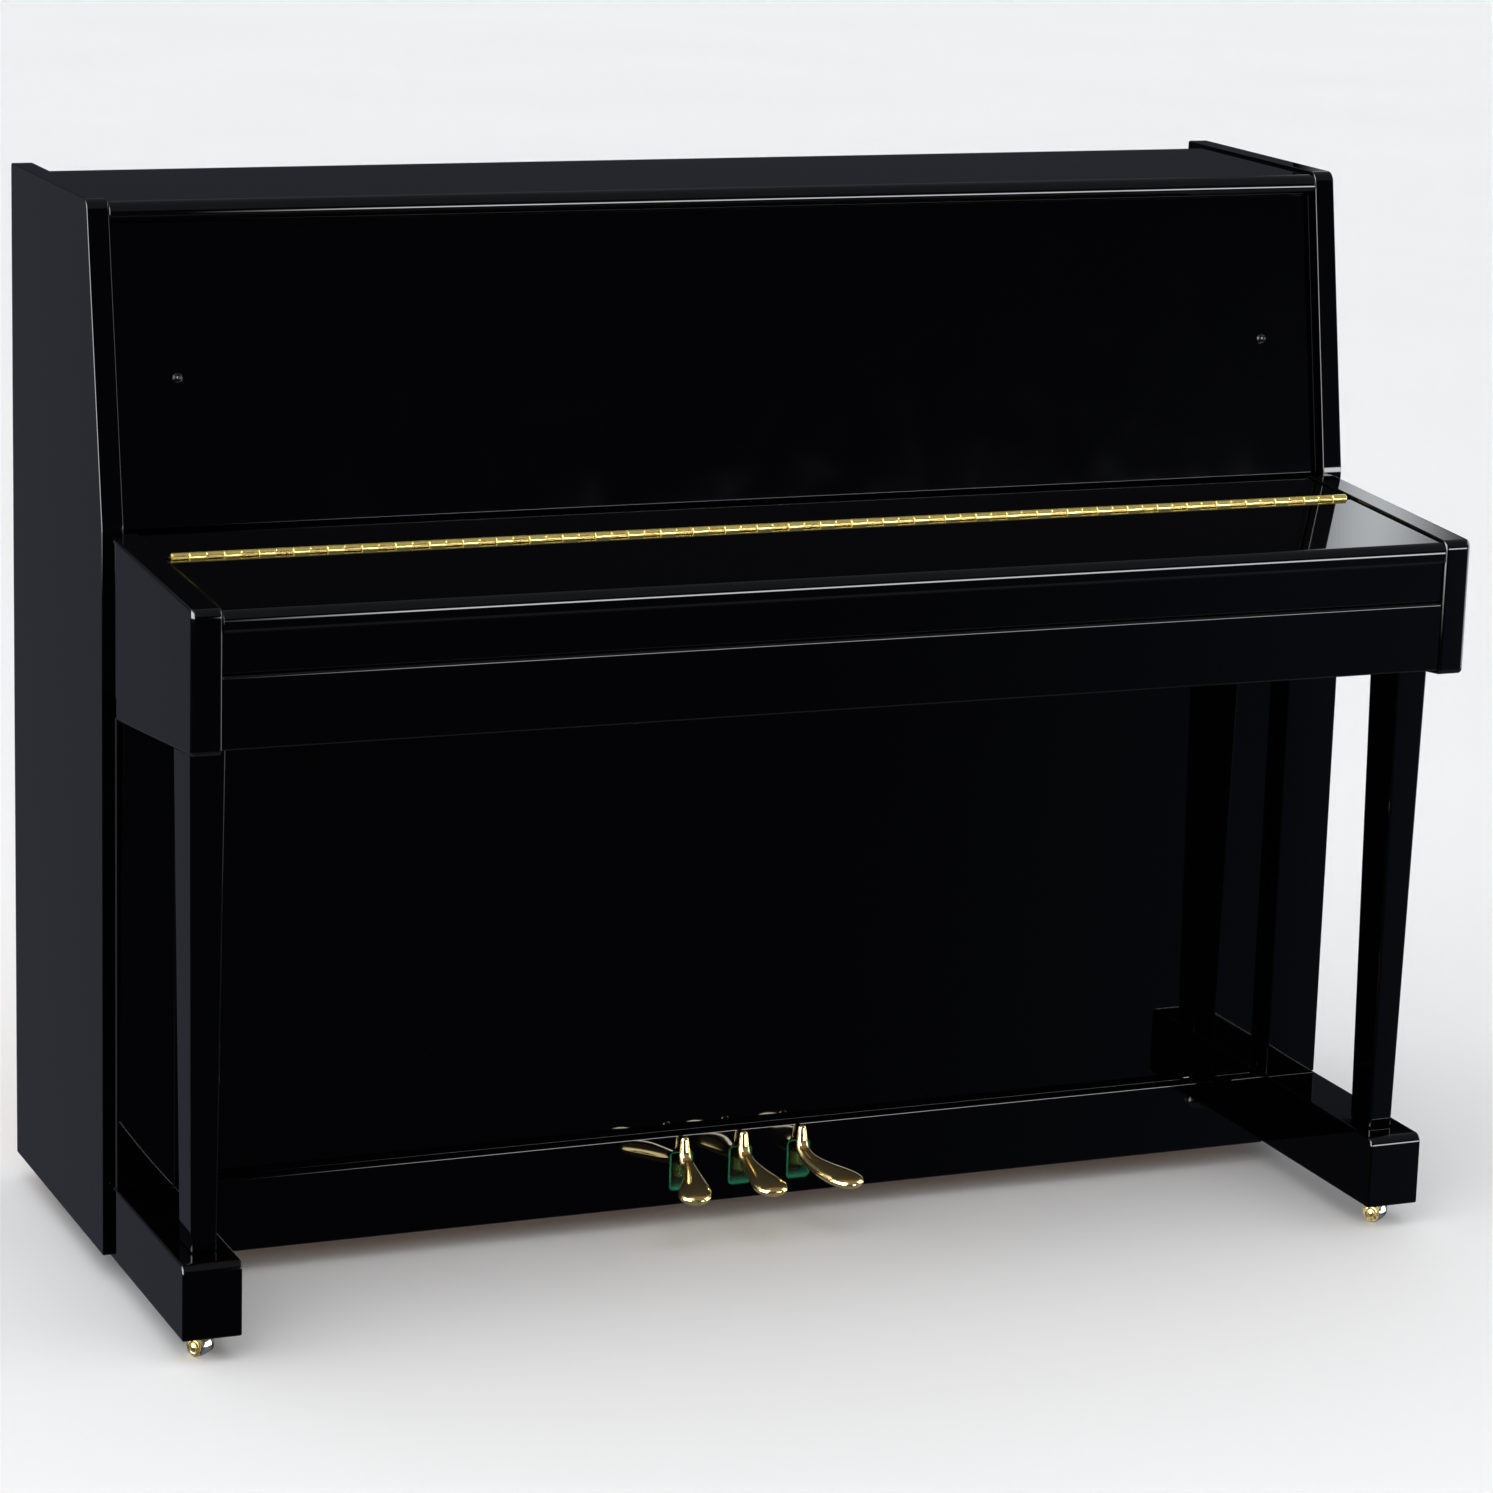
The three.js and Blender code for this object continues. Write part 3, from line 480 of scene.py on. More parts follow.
SPRUCE = ((0.72, 0.52, 0.30), (0.52, 0.33, 0.16))
LOOKS = {
    "lacquer": (lacquer(), "black_lacquer"),
    "hinge": (brass("satin brass", (0.20, 0.28), (0.95, 0.77, 0.24), 0.8, (40, 1, 1)), "brass"),
    "brass": (brass("polished brass", (0.07, 0.13), (0.92, 0.72, 0.32), 0.94), "brass"),
    "cast": (brass("cast brass", (0.18, 0.28), (0.50, 0.39, 0.17), 1.0), "brass"),
    "steel": (steel(), "polished_steel"),
    "rubber": (rubber(), "rubber"),
    "ivory": (ivory(), "white_key"),
    "sharp": (sharp_black(), "black_key"),
    "beech": (wood("planed beech", (0.60, 0.40, 0.23), (0.42, 0.25, 0.13), (28, 1, 1)), "bare_wood"),
    "maple": (wood("laminated maple", (0.66, 0.49, 0.30), (0.46, 0.30, 0.16), (30, 1, 0.4)), "bare_wood"),
    "spruce_up": (wood("spruce posts", *SPRUCE, (1, 1, 40)), "spruce"),
    "spruce_across": (wood("spruce beams", *SPRUCE, (40, 1, 1)), "spruce"),
    "spruce_keys": (wood("spruce key sticks", (0.78, 0.62, 0.40), (0.60, 0.43, 0.24), (1, 40, 1),
                         ring=0.003), "spruce"),
    "soundboard": (wood("spruce soundboard", (0.78, 0.56, 0.30), (0.58, 0.37, 0.17), (60, 1, 1),
                        (0, math.radians(RIB_ANGLE), 0), 0.004, (0.25, 0.4)), "spruce"),
    "iron": (iron(), "bronzed_iron"),
    "felt_white": (felt("white felt", (0.80, 0.77, 0.68)), "felt"),
    "felt_green": (felt("green felt", (0.0, 0.17, 0.08)), "felt"),
    "felt_red": (felt("red felt", (0.40, 0.02, 0.03)), "felt"),
    "copper": (copper_wound(), "brass"),
}


# ---- case ---------------------------------------------------------------------------------
side_low, side_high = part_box("left_side_panel")
CASE_BACK, CASE_BOTTOM, CASE_TOP = side_high.y, side_low.z, side_high.z
CASE_FRONT = side_low.y
arm_low, arm_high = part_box("left_arm")
ARM_FRONT = arm_low.y
ARM_IN = -arm_high.x
ARM_TOP, ARM_UNDER_REAR, ARM_UNDER_FRONT = 0.768, 0.583, 0.612
FALL_TOP_FRONT = 0.7495
lid_low, lid_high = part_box("top_lid")
TOP_FRONT = lid_low.y + 0.003
LEAN = (TOP_FRONT - CASE_FRONT) / (CASE_TOP - BEND_Z)
fall_low, fall_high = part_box("fallboard_flap")
PANEL_RECESS = 0.0152
BUFFER_Z = 0.914


def slant_y(z):
    return CASE_FRONT + (z - BEND_Z) * LEAN


def fall_top(y):
    """Height of the fallboard's upper face."""
    return FALL_TOP_FRONT + (y - ARM_FRONT) * FALL_SLOPE


def span(node):
    """A node's limits along X."""
    low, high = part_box(node)
    return low.x, high.x


def side_panels():
    for _, word in SIDES:
        node = f"{word}_side_panel"
        corners = [
            (CASE_BACK, CASE_BOTTOM, 0.001), (CASE_BACK, CASE_TOP, 0.003), (TOP_FRONT, CASE_TOP, 0.012),
            (CASE_FRONT, BEND_Z, 0.04), (CASE_FRONT, CASE_BOTTOM, 0.001),
        ]
        lacquered(node, prism(corners, "x", *span(node), 0.0030, 5))


def inset(radius, depth):
    """How far a rounded edge draws in at a depth below the end face."""
    left = radius - min(depth, radius)
    return radius - math.sqrt(radius ** 2 - left ** 2)


def arm_top(y):
    return ARM_TOP + (y - CASE_FRONT) * FALL_SLOPE


def arm_under(y):
    rise = (ARM_UNDER_FRONT - ARM_UNDER_REAR) / (CASE_FRONT - ARM_FRONT)
    return ARM_UNDER_REAR + (CASE_FRONT - y) * rise


def arm_section(front, top, bottom):
    """The arm's side outline, drawn in by three amounts."""
    rear, nose = CASE_FRONT - GAP, ARM_FRONT + front
    return outline([
        (rear, arm_top(rear) - top), (nose, arm_top(nose) - top, 0.009 - front / 2),
        (nose, arm_under(nose) + bottom, 0.006 - front / 3), (rear, arm_under(rear) + bottom),
    ])


def arms():
    """Arms with a full round on the outer front edge and finer ones elsewhere."""
    outer_round, inner_round = (0.0065, 0.0030, 0.0045), (0.0030, 0.0018, 0.0025)
    depths = (0, 0.0001, 0.0003, 0.0006, 0.001, 0.0015, 0.0022, 0.003, 0.0045, 0.0065)
    for side, word in SIDES:
        node = f"{word}_arm"
        low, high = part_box(node)
        outer, inner = (low.x if side < 0 else high.x), side * ARM_IN
        ends = [(outer - side * d, [inset(r, d) for r in outer_round]) for d in depths]
        ends += [(inner + side * d, [inset(r, d) for r in inner_round]) for d in reversed(depths[:8])]
        mesh = bmesh.new()
        skin(mesh, [[mesh.verts.new((x, p.x, p.y)) for p in arm_section(*drawn)] for x, drawn in ends])
        near, far = high.y, CASE_FRONT - GAP - 0.004
        tenon = [(near, ARM_TOP), (far, ARM_TOP - 0.001), (far, ARM_UNDER_REAR + 0.002),
                 (near, ARM_UNDER_REAR + 0.002)]
        inside = side * (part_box("right_side_panel")[0].x - GAP)
        lacquered(node, prism(tenon, "x", *sorted((inner, inside)), 0.0008, 2, mesh))


STEM_HOLE, STEM_TOP = 0.0043, 0.056


def stem_hole(x, y):
    hole = lathe([(STEM_HOLE, 0.02), (STEM_HOLE, STEM_TOP), (0, STEM_TOP), (0, 0.02)], 20)
    return turned(hole, Matrix.Translation((x, y, 0)))


def caster_spot(name):
    """Where a caster's king pin stands."""
    return joint(f"{name}_caster_turn")["pos_m"][:2]


def pilasters_and_toes():
    rear, toe_in, tenon_in, tenon_top = CASE_FRONT - GAP, 0.623, 0.6677, 0.060
    for side, word in SIDES:
        node = f"{word}_pilaster"
        lacquered(node, box_board(node, EDGE))
        node = f"{word}_toe_block"
        low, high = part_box(node)
        outer, inner = (low.x if side < 0 else high.x), side * toe_in
        corners = [(rear, low.z), (rear, high.z), (low.y, high.z, 0.009), (low.y, low.z, 0.002)]
        mesh = prism(corners, "x", *sorted((inner, outer)), 0.0022, 4)
        tenon_x = sorted((inner, side * tenon_in))
        mesh = board(tenon_x, (rear + GAP, high.y), (low.z, tenon_top), 0.001, 2, mesh)
        lacquered(node, cut_out(mesh, [stem_hole(*caster_spot(f"{word}_front"))]))


def legs():
    """Square posts, tapered to the foot on all four faces."""
    head, foot = (0.0175, 0.029), (0.013, 0.021)
    signs = ((-1, -1), (1, -1), (1, 1), (-1, 1))
    for _, word in SIDES:
        node = f"{word}_leg"
        low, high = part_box(node)
        centre = Vector(((low.x + high.x) / 2, (low.y + high.y) / 2, 0))
        mesh = bmesh.new()
        rings = []
        for (wide, deep), z in ((foot, low.z), (head, high.z)):
            rings.append([mesh.verts.new(centre + Vector((sx * wide, sy * deep, z))) for sx, sy in signs])
        skin(mesh, rings)
        for vert in rings[1]:
            vert.co.z = arm_under(vert.co.y) - GAP
        bevel_sharp(mesh, 0.0022, 4)
        lacquered(node, mesh)


PEDALS = {word: joint(f"{word}_pedal_press")["pos_m"][0] for word in ("soft", "practice", "damper")}
SLOT_HALF, SLOT_LOW, SLOT_HIGH = 0.014, 0.040, 0.084


def slot_outline(x, inset=0.0, radius=0.006):
    left, right = x - SLOT_HALF + inset, x + SLOT_HALF - inset
    low, high = SLOT_LOW + inset, SLOT_HIGH - inset
    return [(left, low, radius), (right, low, radius), (right, high, radius), (left, high, radius)]


def plinth():
    """The bottom board of the front, with three round-cornered slots lined with felt."""
    hole_half, hole_low, hole_high, hole_round = 0.0110, 0.0437, 0.0815, 0.003
    low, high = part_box("plinth")
    mesh = box_board("plinth", EDGE)
    tools = [prism(slot_outline(x), "y", low.y - 0.01, high.y + 0.01) for x in PEDALS.values()]
    lacquered("plinth", cut_out(mesh, tools))
    for word, x in PEDALS.items():
        ring = prism(slot_outline(x, 0.0002, 0.0058), "y", low.y + 0.0022, high.y - 0.001, 0.0004, 2)
        left, right = x - hole_half, x + hole_half
        inner = [(left, hole_low, hole_round), (right, hole_low, hole_round),
                 (right, hole_high, hole_round), (left, hole_high, hole_round)]
        hole = prism(inner, "y", low.y - 0.01, high.y + 0.01)
        piece(f"{word}_pedal_slot_felt", cut_out(ring, [hole]), "felt_green")


def front_boards():
    lacquered("lower_front_panel", box_board("lower_front_panel", 0.0012))
    low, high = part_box("upper_front_panel")
    face = [(slant_y(z) + PANEL_RECESS, z) for z in (low.z, high.z)]
    thick = 0.015
    corners = [face[0], face[1], (face[1][0] + thick, high.z), (face[0][0] + thick, low.z)]
    lacquered("upper_front_panel", prism(corners, "x", low.x, high.x, 0.0014))


def top_lid():
    corners = [(lid_low.y, lid_low.z, 0.0077), (lid_low.y, lid_high.z, 0.0122),
               (lid_high.y, lid_high.z, 0.002), (lid_high.y, lid_low.z, 0.002)]
    lacquered("top_lid", prism(corners, "x", lid_low.x, lid_high.x, 0.001), "lid")


def fallboard():
    """The fixed rear strip, and the flap with its round nose and hanging lip."""
    low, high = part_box("fallboard_rear_strip")
    corners = [(high.y, fall_top(high.y)), (low.y, fall_top(low.y)),
               (low.y, fall_top(low.y) - BOARD_T), (high.y, fall_top(high.y) - BOARD_T)]
    lacquered("fallboard_rear_strip", prism(corners, "x", low.x, high.x, 0.0008))
    rear, front, foot = fall_high.y, fall_low.y, fall_low.z
    lip_front, lip_t = front + 0.004, 0.014
    nose, lower_nose = 0.0106, 0.0046
    under = fall_top(front) - 2 * nose - 0.0002
    corners = [
        (rear, fall_top(rear)), (front, fall_top(front), nose), (front, under, lower_nose),
        (lip_front + 0.001, under),
        (lip_front + 0.001, foot, 0.002), (lip_front + lip_t, foot, 0.002),
        (lip_front + lip_t, fall_top(lip_front) - BOARD_T), (rear, fall_top(rear) - BOARD_T),
    ]
    lacquered("fallboard_flap", prism(corners, "x", fall_low.x, fall_high.x, 0.0008), "fallboard")


def key_slip():
    low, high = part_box("key_slip")
    corners = [(high.y, low.z), (high.y, high.z), (low.y, high.z, 0.003), (low.y, low.z, 0.002)]
    lacquered("key_slip", prism(corners, "x", low.x, high.x, 0.0008))
    for _, word in SIDES:
        node = f"{word}_key_block"
        lacquered(node, box_board(node, 0.0015))


def buffers():
    """Rubber studs with a washer at the foot, a waist and a domed head."""
    profile = rounded_profile([
        (0, 0.0003), (0.0049, 0.0003), (0.0049, 0.0030, 0.0007), (0.0040, 0.0030, 0.0004),
        (0.0036, 0.0024), (0.0031, 0.0028), (0.0030, 0.0093, 0.0026), (0, 0.0093),
    ], 6)
    for _, word in SIDES:
        node = f"{word}_fallboard_buffer"
        low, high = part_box(node)
        foot = Vector(((low.x + high.x) / 2, slant_y(BUFFER_Z) + PANEL_RECESS, BUFFER_Z))
        place = Matrix.Translation(foot) @ Matrix.Rotation(math.pi / 2 - math.atan(LEAN), 4, "X")
        piece(f"{node}_rubber", turned(lathe(profile, 32), place), "rubber", replaces=(node,))


side_panels()
arms()
pilasters_and_toes()
legs()
plinth()
front_boards()
top_lid()
fallboard()
key_slip()
buffers()

# ---- continuous hinge ---------------------------------------------------------------------
_, HINGE_Y, HINGE_Z = joint("fallboard_hinge")["pos_m"]
KNUCKLE_RADIUS = 0.0045
KNUCKLE_WALL = 0.0022
PIN_RADIUS = KNUCKLE_RADIUS - KNUCKLE_WALL - 0.0002
KNUCKLE_GAP = 0.0004  # at each end of a knuckle
SEAM_OPEN, SEAM_FRONT, SEAM_BELOW = math.radians(30), math.radians(168), math.radians(-60)
LEAF_NEAR, LEAF_T, LEAF_LOW = 0.0033, 0.0012, 0.017


def rolled_section(seam, steps=22):
    """Outline of sheet brass rolled round the pin, with its open seam at an angle from +Y."""
    start, sweep_angle = seam + SEAM_OPEN / 2, 2 * math.pi - SEAM_OPEN
    angles = [start + sweep_angle * k / steps for k in range(steps + 1)]
    ring = [(KNUCKLE_RADIUS, a) for a in angles]
    ring += [(KNUCKLE_RADIUS - KNUCKLE_WALL, a) for a in reversed(angles)]
    return [(HINGE_Y + r * math.cos(a), HINGE_Z + r * math.sin(a)) for r, a in ring]


def piano_hinge():
    """Rolled knuckles by turns on the fixed and the moving leaf. The fixed ones show their seam."""
    low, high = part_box("piano_hinge_fixed_leaf")
    pitch = (high.x - low.x) / HINGE_SEGMENTS
    leaf_y = {side: sorted((HINGE_Y + side * LEAF_NEAR, HINGE_Y + side * (LEAF_NEAR + LEAF_T)))
              for side in (1, -1)}
    leaf_z, neck_z = (HINGE_Z - LEAF_LOW, HINGE_Z - 0.0048), (HINGE_Z - 0.0052, HINGE_Z - 0.0007)
    leaves = {side: board((low.x, high.x), leaf_y[side], leaf_z, 0.0002, 1) for side in (1, -1)}
    for k in range(HINGE_SEGMENTS):
        side = 1 if k % 2 == 0 else -1
        x0 = low.x + k * pitch + KNUCKLE_GAP
        x1 = x0 + pitch - 2 * KNUCKLE_GAP
        section = rolled_section(SEAM_FRONT if side > 0 else SEAM_BELOW)
        prism(section, "x", x0, x1, 0.0006, 3, leaves[side])
        board((x0, x1), leaf_y[side], neck_z, 0, 1, leaves[side])
    piece("hinge_fixed_leaf_rolled", leaves[1], "hinge", replaces=("piano_hinge_fixed_leaf",), crease=30)
    piece("hinge_moving_leaf_rolled", leaves[-1], "hinge", "fallboard", ("piano_hinge_moving_leaf",), 30)
    pin = rod((low.x, HINGE_Y, HINGE_Z), (high.x, HINGE_Y, HINGE_Z), PIN_RADIUS, 20)
    piece("hinge_pin_turned", pin, "cast", replaces=("piano_hinge_pin",))


def lid_hinge():
    """The lid's own continuous hinge, along its back edge."""
    _, y, z = joint("lid_hinge")["pos_m"]
    count, radius, gap = 40, 0.0019, 0.0002
    pitch = (lid_high.x - lid_low.x) / count
    across, flat, upright = (lid_low.x, lid_high.x), (z - 0.0022, z - 0.0014), (y - 0.0019, y - 0.0013)
    halves = {"case": board(across, (y + 0.003, y + 0.008), flat, 0.0002, 1),
              "lid": board(across, upright, (z + 0.0024, z + 0.0075), 0.0002, 1)}
    for k in range(count):
        x0 = lid_low.x + k * pitch + gap
        x1 = x0 + pitch - 2 * gap
        body = "case" if k % 2 == 0 else "lid"
        rod((x0, y, z), (x1, y, z), radius, 16, halves[body])
        if body == "case":
            board((x0, x1), (y + 0.0008, y + 0.0035), flat, 0, 1, halves[body])
        else:
            board((x0, x1), upright, (z + 0.001, z + 0.0026), 0, 1, halves[body])
    for body, mesh in halves.items():
        piece(f"lid_hinge_{body}_leaf", mesh, "hinge", body, crease=30)


piano_hinge()
lid_hinge()


# ---- pedals -------------------------------------------------------------------------------
def smooth(path, steps):
    """A curve through rows of numbers, steps points to each span."""
    rows = [Vector(row) for row in path]
    made = []
    for i in range(len(rows) - 1):
        before, here = rows[max(i - 1, 0)], rows[i]
        there, after = rows[i + 1], rows[min(i + 2, len(rows) - 1)]
        for k in range(steps):
            t = k / steps
            made.append(0.5 * (2 * here + (there - before) * t
                               + (2 * before - 5 * here + 4 * there - after) * t ** 2
                               + (3 * here - before - 3 * there + after) * t ** 3))
    return made + [rows[-1]]


def pedal_stations(x, sway):
    """Stations (y, z, half width, half height) from the boss in front of the plinth to the toe's tip."""
    path = [[size * MM for size in row] for row in (
        (-65.5, 101.8, 1.4, 1.2), (-65.5, 101.0, 3.0, 2.6), (-65.5, 99.2, 4.2, 3.7),
        (-65.6, 95.0, 4.9, 4.3), (-65.8, 89.0, 5.6, 4.9), (-66.5, 83.0, 6.3, 5.5),
        (-69.0, 77.5, 6.9, 6.1), (-74.5, 72.7, 7.5, 6.6), (-83.0, 69.5, 8.4, 7.0),
        (-94.0, 67.6, 10.0, 7.2), (-106.0, 66.4, 12.1, 7.4), (-118.0, 65.5, 14.5, 7.7),
        (-129.0, 64.8, 16.6, 8.0), (-139.0, 64.2, 17.5, 7.9), (-147.5, 63.7, 16.6, 7.3),
        (-154.5, 63.2, 13.4, 6.0), (-158.5, 62.8, 8.6, 4.0), (-160.0, 62.6, 3.0, 1.6),
    )]
    bend_from, tip, bend_power, squareness = -0.075, path[-1][0], 1.5, 0.92
    points, sizes = [], []
    for y, z, wide, high in smooth(path, 4):
        reach = max(0.0, (bend_from - y) / (bend_from - tip))
        points.append(Vector((x + sway * reach ** bend_power, y, z)))
        sizes.append((wide, high))
    stations = []
    for i, (wide, high) in enumerate(sizes):
        along = (points[min(i + 1, len(points) - 1)] - points[max(i - 1, 0)]).normalized()
        across = Vector((1, 0, 0)) - along * along.x
        across.normalize()
        upward = across.cross(along)
        stations.append((points[i], across, upward, wide, high, squareness))
    return stations


def pedals():
    """Each pedal's toe and post, and the arm behind the plinth that turns on a pin."""
    sway, pin_y, pin_z, reach = 0.026, 0.020, 0.060, 0.02
    lever = [[size * MM for size in row] for row in (
        (35.0, 60.0, 5.0, 6.0), (34.0, 60.0, 6.8, 7.8), (10.0, 60.0, 7.0, 8.0),
        (-45.0, 61.0, 6.6, 8.0), (-58.0, 62.2, 5.8, 8.0), (-68.0, 65.0, 4.6, 6.6),
    )]
    across, upward = Vector((1, 0, 0)), Vector((0, 0, 1))
    for i, (word, x) in enumerate(PEDALS.items()):
        body = f"{word}_pedal_lever"
        mesh = sweep(pedal_stations(x, (i - 1) * sway), 40)
        stations = [(Vector((x, y, z)), across, upward, wide, deep, 0.45) for y, z, wide, deep in lever]
        pin_hole = rod((x - reach, pin_y, pin_z), (x + reach, pin_y, pin_z), 0.0033, 20)
        piece(f"{word}_pedal_cast", mesh, "brass", body, (f"{word}_pedal",), 60)
        piece(f"{word}_pedal_arm_cast", cut_out(sweep(stations, 28), [pin_hole]), "brass", body, crease=50)


pedals()


# ---- casters ------------------------------------------------------------------------------
CASTER_TURN = math.radians(35)
TRAIL, WHEEL_R, WHEEL_HALF = 0.007, 0.0105, 0.007
CHEEK_IN, CHEEK_OUT, KING_PIN, KING_PIN_TOP = 0.008, 0.010, 0.004, 0.054


def caster_fork():
    """Top plate, king pin, two round cheeks with pressed rings, and the axle with domed heads."""
    crown, top, cheek_r = 0.0220, 0.0246, 0.0095
    mesh = lathe(rounded_profile([(0, crown), (0.012, crown, 0.0006), (0.012, top, 0.0006), (KING_PIN, top),
                                  (KING_PIN, KING_PIN_TOP), (0, KING_PIN_TOP)]), 36)
    board((-CHEEK_OUT, CHEEK_OUT), (0, TRAIL + cheek_r), (crown, top - 0.0002), 0.0006, 2, mesh)
    corner = cheek_r - 0.0005
    low = WHEEL_R - cheek_r
    cheek = [(TRAIL - cheek_r, crown + 0.001), (TRAIL + cheek_r, crown + 0.001),
             (TRAIL + cheek_r, low, corner), (TRAIL - cheek_r, low, corner)]
    rings = [(0, 0), (0.0080, 0), (0.0074, 0.0005), (0.0066, 0.0006), (0.0060, 0.0001), (0.0046, 0.0001),
             (0.0042, 0.0006), (0.0030, 0.0007), (0.0028, 0.0013), (0.0016, 0.0020), (0, 0.0022)]
    for side in (-1, 1):
        prism(cheek, "x", *sorted((side * CHEEK_IN, side * CHEEK_OUT)), 0.0006, 3, mesh)
        place = Matrix.Translation((side * (CHEEK_OUT - 0.0001), TRAIL, WHEEL_R))
        merge(mesh, turned(lathe(rings, 36), place @ Matrix.Rotation(side * math.pi / 2, 4, "Y")))
    return rod((-CHEEK_OUT, TRAIL, WHEEL_R), (CHEEK_OUT, TRAIL, WHEEL_R), 0.0024, 20, mesh)


def caster_wheel():
    """Solid turned wheel with a crowned tread and a hub ring on each face."""
    bore, hub, rim = 0.0029, 0.0050, 0.0080
    half, tread = WHEEL_HALF, WHEEL_R
    side_face = [(bore, half), (hub, half, 0.0003), (hub + 0.0005, half - 0.0010), (rim, half - 0.0010),
                 (rim + 0.0005, half - 0.0002, 0.0003), (tread - 0.0016, half, 0.0004),
                 (tread - 0.0002, half - 0.002, 0.002)]
    profile = side_face + [(tread, 0)] + [(r, -x, *more) for r, x, *more in reversed(side_face)]
    mesh = lathe(rounded_profile(profile, 4), 48)
    return turned(mesh, Matrix.Translation((0, TRAIL, WHEEL_R)) @ Matrix.Rotation(math.pi / 2, 4, "Y"))


def casters():
    for spot in ("left_front", "right_front", "left_rear", "right_rear"):
        place = Matrix.Translation((*caster_spot(spot), 0)) @ Matrix.Rotation(CASTER_TURN, 4, "Z")
        piece(f"{spot}_caster_fork_cast", turned(caster_fork(), place), "cast",
              f"{spot}_caster_swivel", (f"{spot}_caster_fork",), 30)
        piece(f"{spot}_caster_wheel_turned", turned(caster_wheel(), place), "steel",
              f"{spot}_caster_roller", (f"{spot}_caster_wheel",), 30)


casters()

# ---- keyboard -----------------------------------------------------------------------------
LETTERS = "abcdefg"
KEYS_HALF = KEY_PITCH * NATURALS / 2
KEY_GAP = 0.001
SHARP_HALF = 0.00475
key_low, key_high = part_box("key_c4")
sharp_low, sharp_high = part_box("key_c4_sharp")
COVER_T = 0.0024
COVER_BACK = -0.105
CAP_BACK, CAP_LOW, TAIL_TOP = -0.150, 0.7135, 0.7195  # of the sharps


def letter(n):
    return LETTERS[n % OCTAVE]


def line_x(n):
    return -KEYS_HALF + n * KEY_PITCH


def has_sharp(n):
    return letter(n) in SHARP_OFFSET and 0 <= n < NATURALS - 1


def sharp_x(n):
    return line_x(n + 1) + SHARP_OFFSET[letter(n)]


def natural_plan(n, back):
    left, right = line_x(n) + KEY_GAP / 2, line_x(n + 1) - KEY_GAP / 2
    tail_left = sharp_x(n - 1) + SHARP_HALF + KEY_GAP if has_sharp(n - 1) else left
    tail_right = sharp_x(n) - SHARP_HALF - KEY_GAP if has_sharp(n) else right
    shoulder = sharp_low.y - 0.002
    plan = [(left, key_low.y, 0.0008), (right, key_low.y, 0.0008), (right, shoulder)]
    if tail_right < right:
        plan.append((tail_right, shoulder))
    plan += [(tail_right, back), (tail_left, back)]
    if tail_left > left:
        plan.append((tail_left, shoulder))
    return plan + [(left, shoulder)]


def natural_cover(n, mesh):
    """The white top and front of one natural key."""
    low, high = key_low.z, key_high.z
    prism(natural_plan(n, COVER_BACK), "z", high - COVER_T, high, 0.0005, 2, mesh)
    left, right = line_x(n) + KEY_GAP / 2, line_x(n + 1) - KEY_GAP / 2
    front = (key_low.y + 0.0006, key_low.y + 0.0026)
    return board((left + 0.0002, right - 0.0002), front, (low, high - COVER_T), 0.0004, 1, mesh)


def natural_stick(n, mesh):
    plan = [(x, max(y, key_low.y + 0.0027)) for x, y, *_ in natural_plan(n, key_high.y)]
    return prism(plan, "z", key_low.z, key_high.z - COVER_T - 0.0001, 0.0003, 1, mesh)


def sharp_cover(n, mesh):
    """A black cap with sloped front and drawn-in sides."""
    x, low, high, front = sharp_x(n), CAP_LOW, sharp_high.z, sharp_low.y
    half_low, half_high = SHARP_HALF - 0.0001, 0.0039
    new = bmesh.new()
    side = [(front, low), (front + 0.0012, low + 0.0075), (front + 0.0068, high),
            (CAP_BACK - 0.002, high), (CAP_BACK, low)]
    rings = []
    for sign in (-1, 1):
        ring = []
        for y, z in side:
            half = half_low + (half_high - half_low) * (z - low) / (high - low)
            ring.append(new.verts.new((x + sign * half, y, z)))
        rings.append(ring)
    skin(new, rings)
    bevel_sharp(new, 0.0011, 4, 20)
    return merge(mesh, new)


def sharp_stick(n, mesh):
    across = (sharp_x(n) - SHARP_HALF, sharp_x(n) + SHARP_HALF)
    tail, under_cap = (CAP_BACK + 0.0005, sharp_high.y), (sharp_low.y + 0.0006, CAP_BACK + 0.0004)
    board(across, tail, (sharp_low.z, TAIL_TOP), 0.0003, 1, mesh)
    return board(across, under_cap, (sharp_low.z, CAP_LOW - 0.0001), 0.0003, 1, mesh)


def key_pieces(name, body, white, black, replaces):
    """Covers and sticks for a set of keys that move as one."""
    nodes = list(replaces)
    if white:
        cover, stick = bmesh.new(), bmesh.new()
        for n in white:
            natural_cover(n, cover)
            natural_stick(n, stick)
        piece(f"{name}_covers", cover, "ivory", body, nodes, 30)
        piece(f"{name}_sticks", stick, "spruce_keys", body)
    if black:
        cover, stick = bmesh.new(), bmesh.new()
        for n in black:
            sharp_cover(n, cover)
            sharp_stick(n, stick)
        piece(f"{name}_caps", cover, "sharp", body, nodes if not white else (), 30)
        piece(f"{name}_cap_sticks", stick, "spruce_keys", body)


def keyboard():
    last = MIDDLE_C + OCTAVE
    for name, numbers in (("bass", range(MIDDLE_C)), ("treble", range(last, NATURALS))):
        key_pieces(f"{name}_naturals", "case", list(numbers), [], (f"{name}_natural_keys",))
        sharps = [n for n in numbers if has_sharp(n)]
        key_pieces(f"{name}_sharps", "case", [], sharps, (f"{name}_sharp_keys",))
    for n in range(MIDDLE_C, last):
        node = f"key_{letter(n)}4"
        key_pieces(node, f"{node}_lever", [n], [], (node,))
        if has_sharp(n):
            key_pieces(f"{node}_sharp", f"{node}_sharp_lever", [], [n], (f"{node}_sharp",))


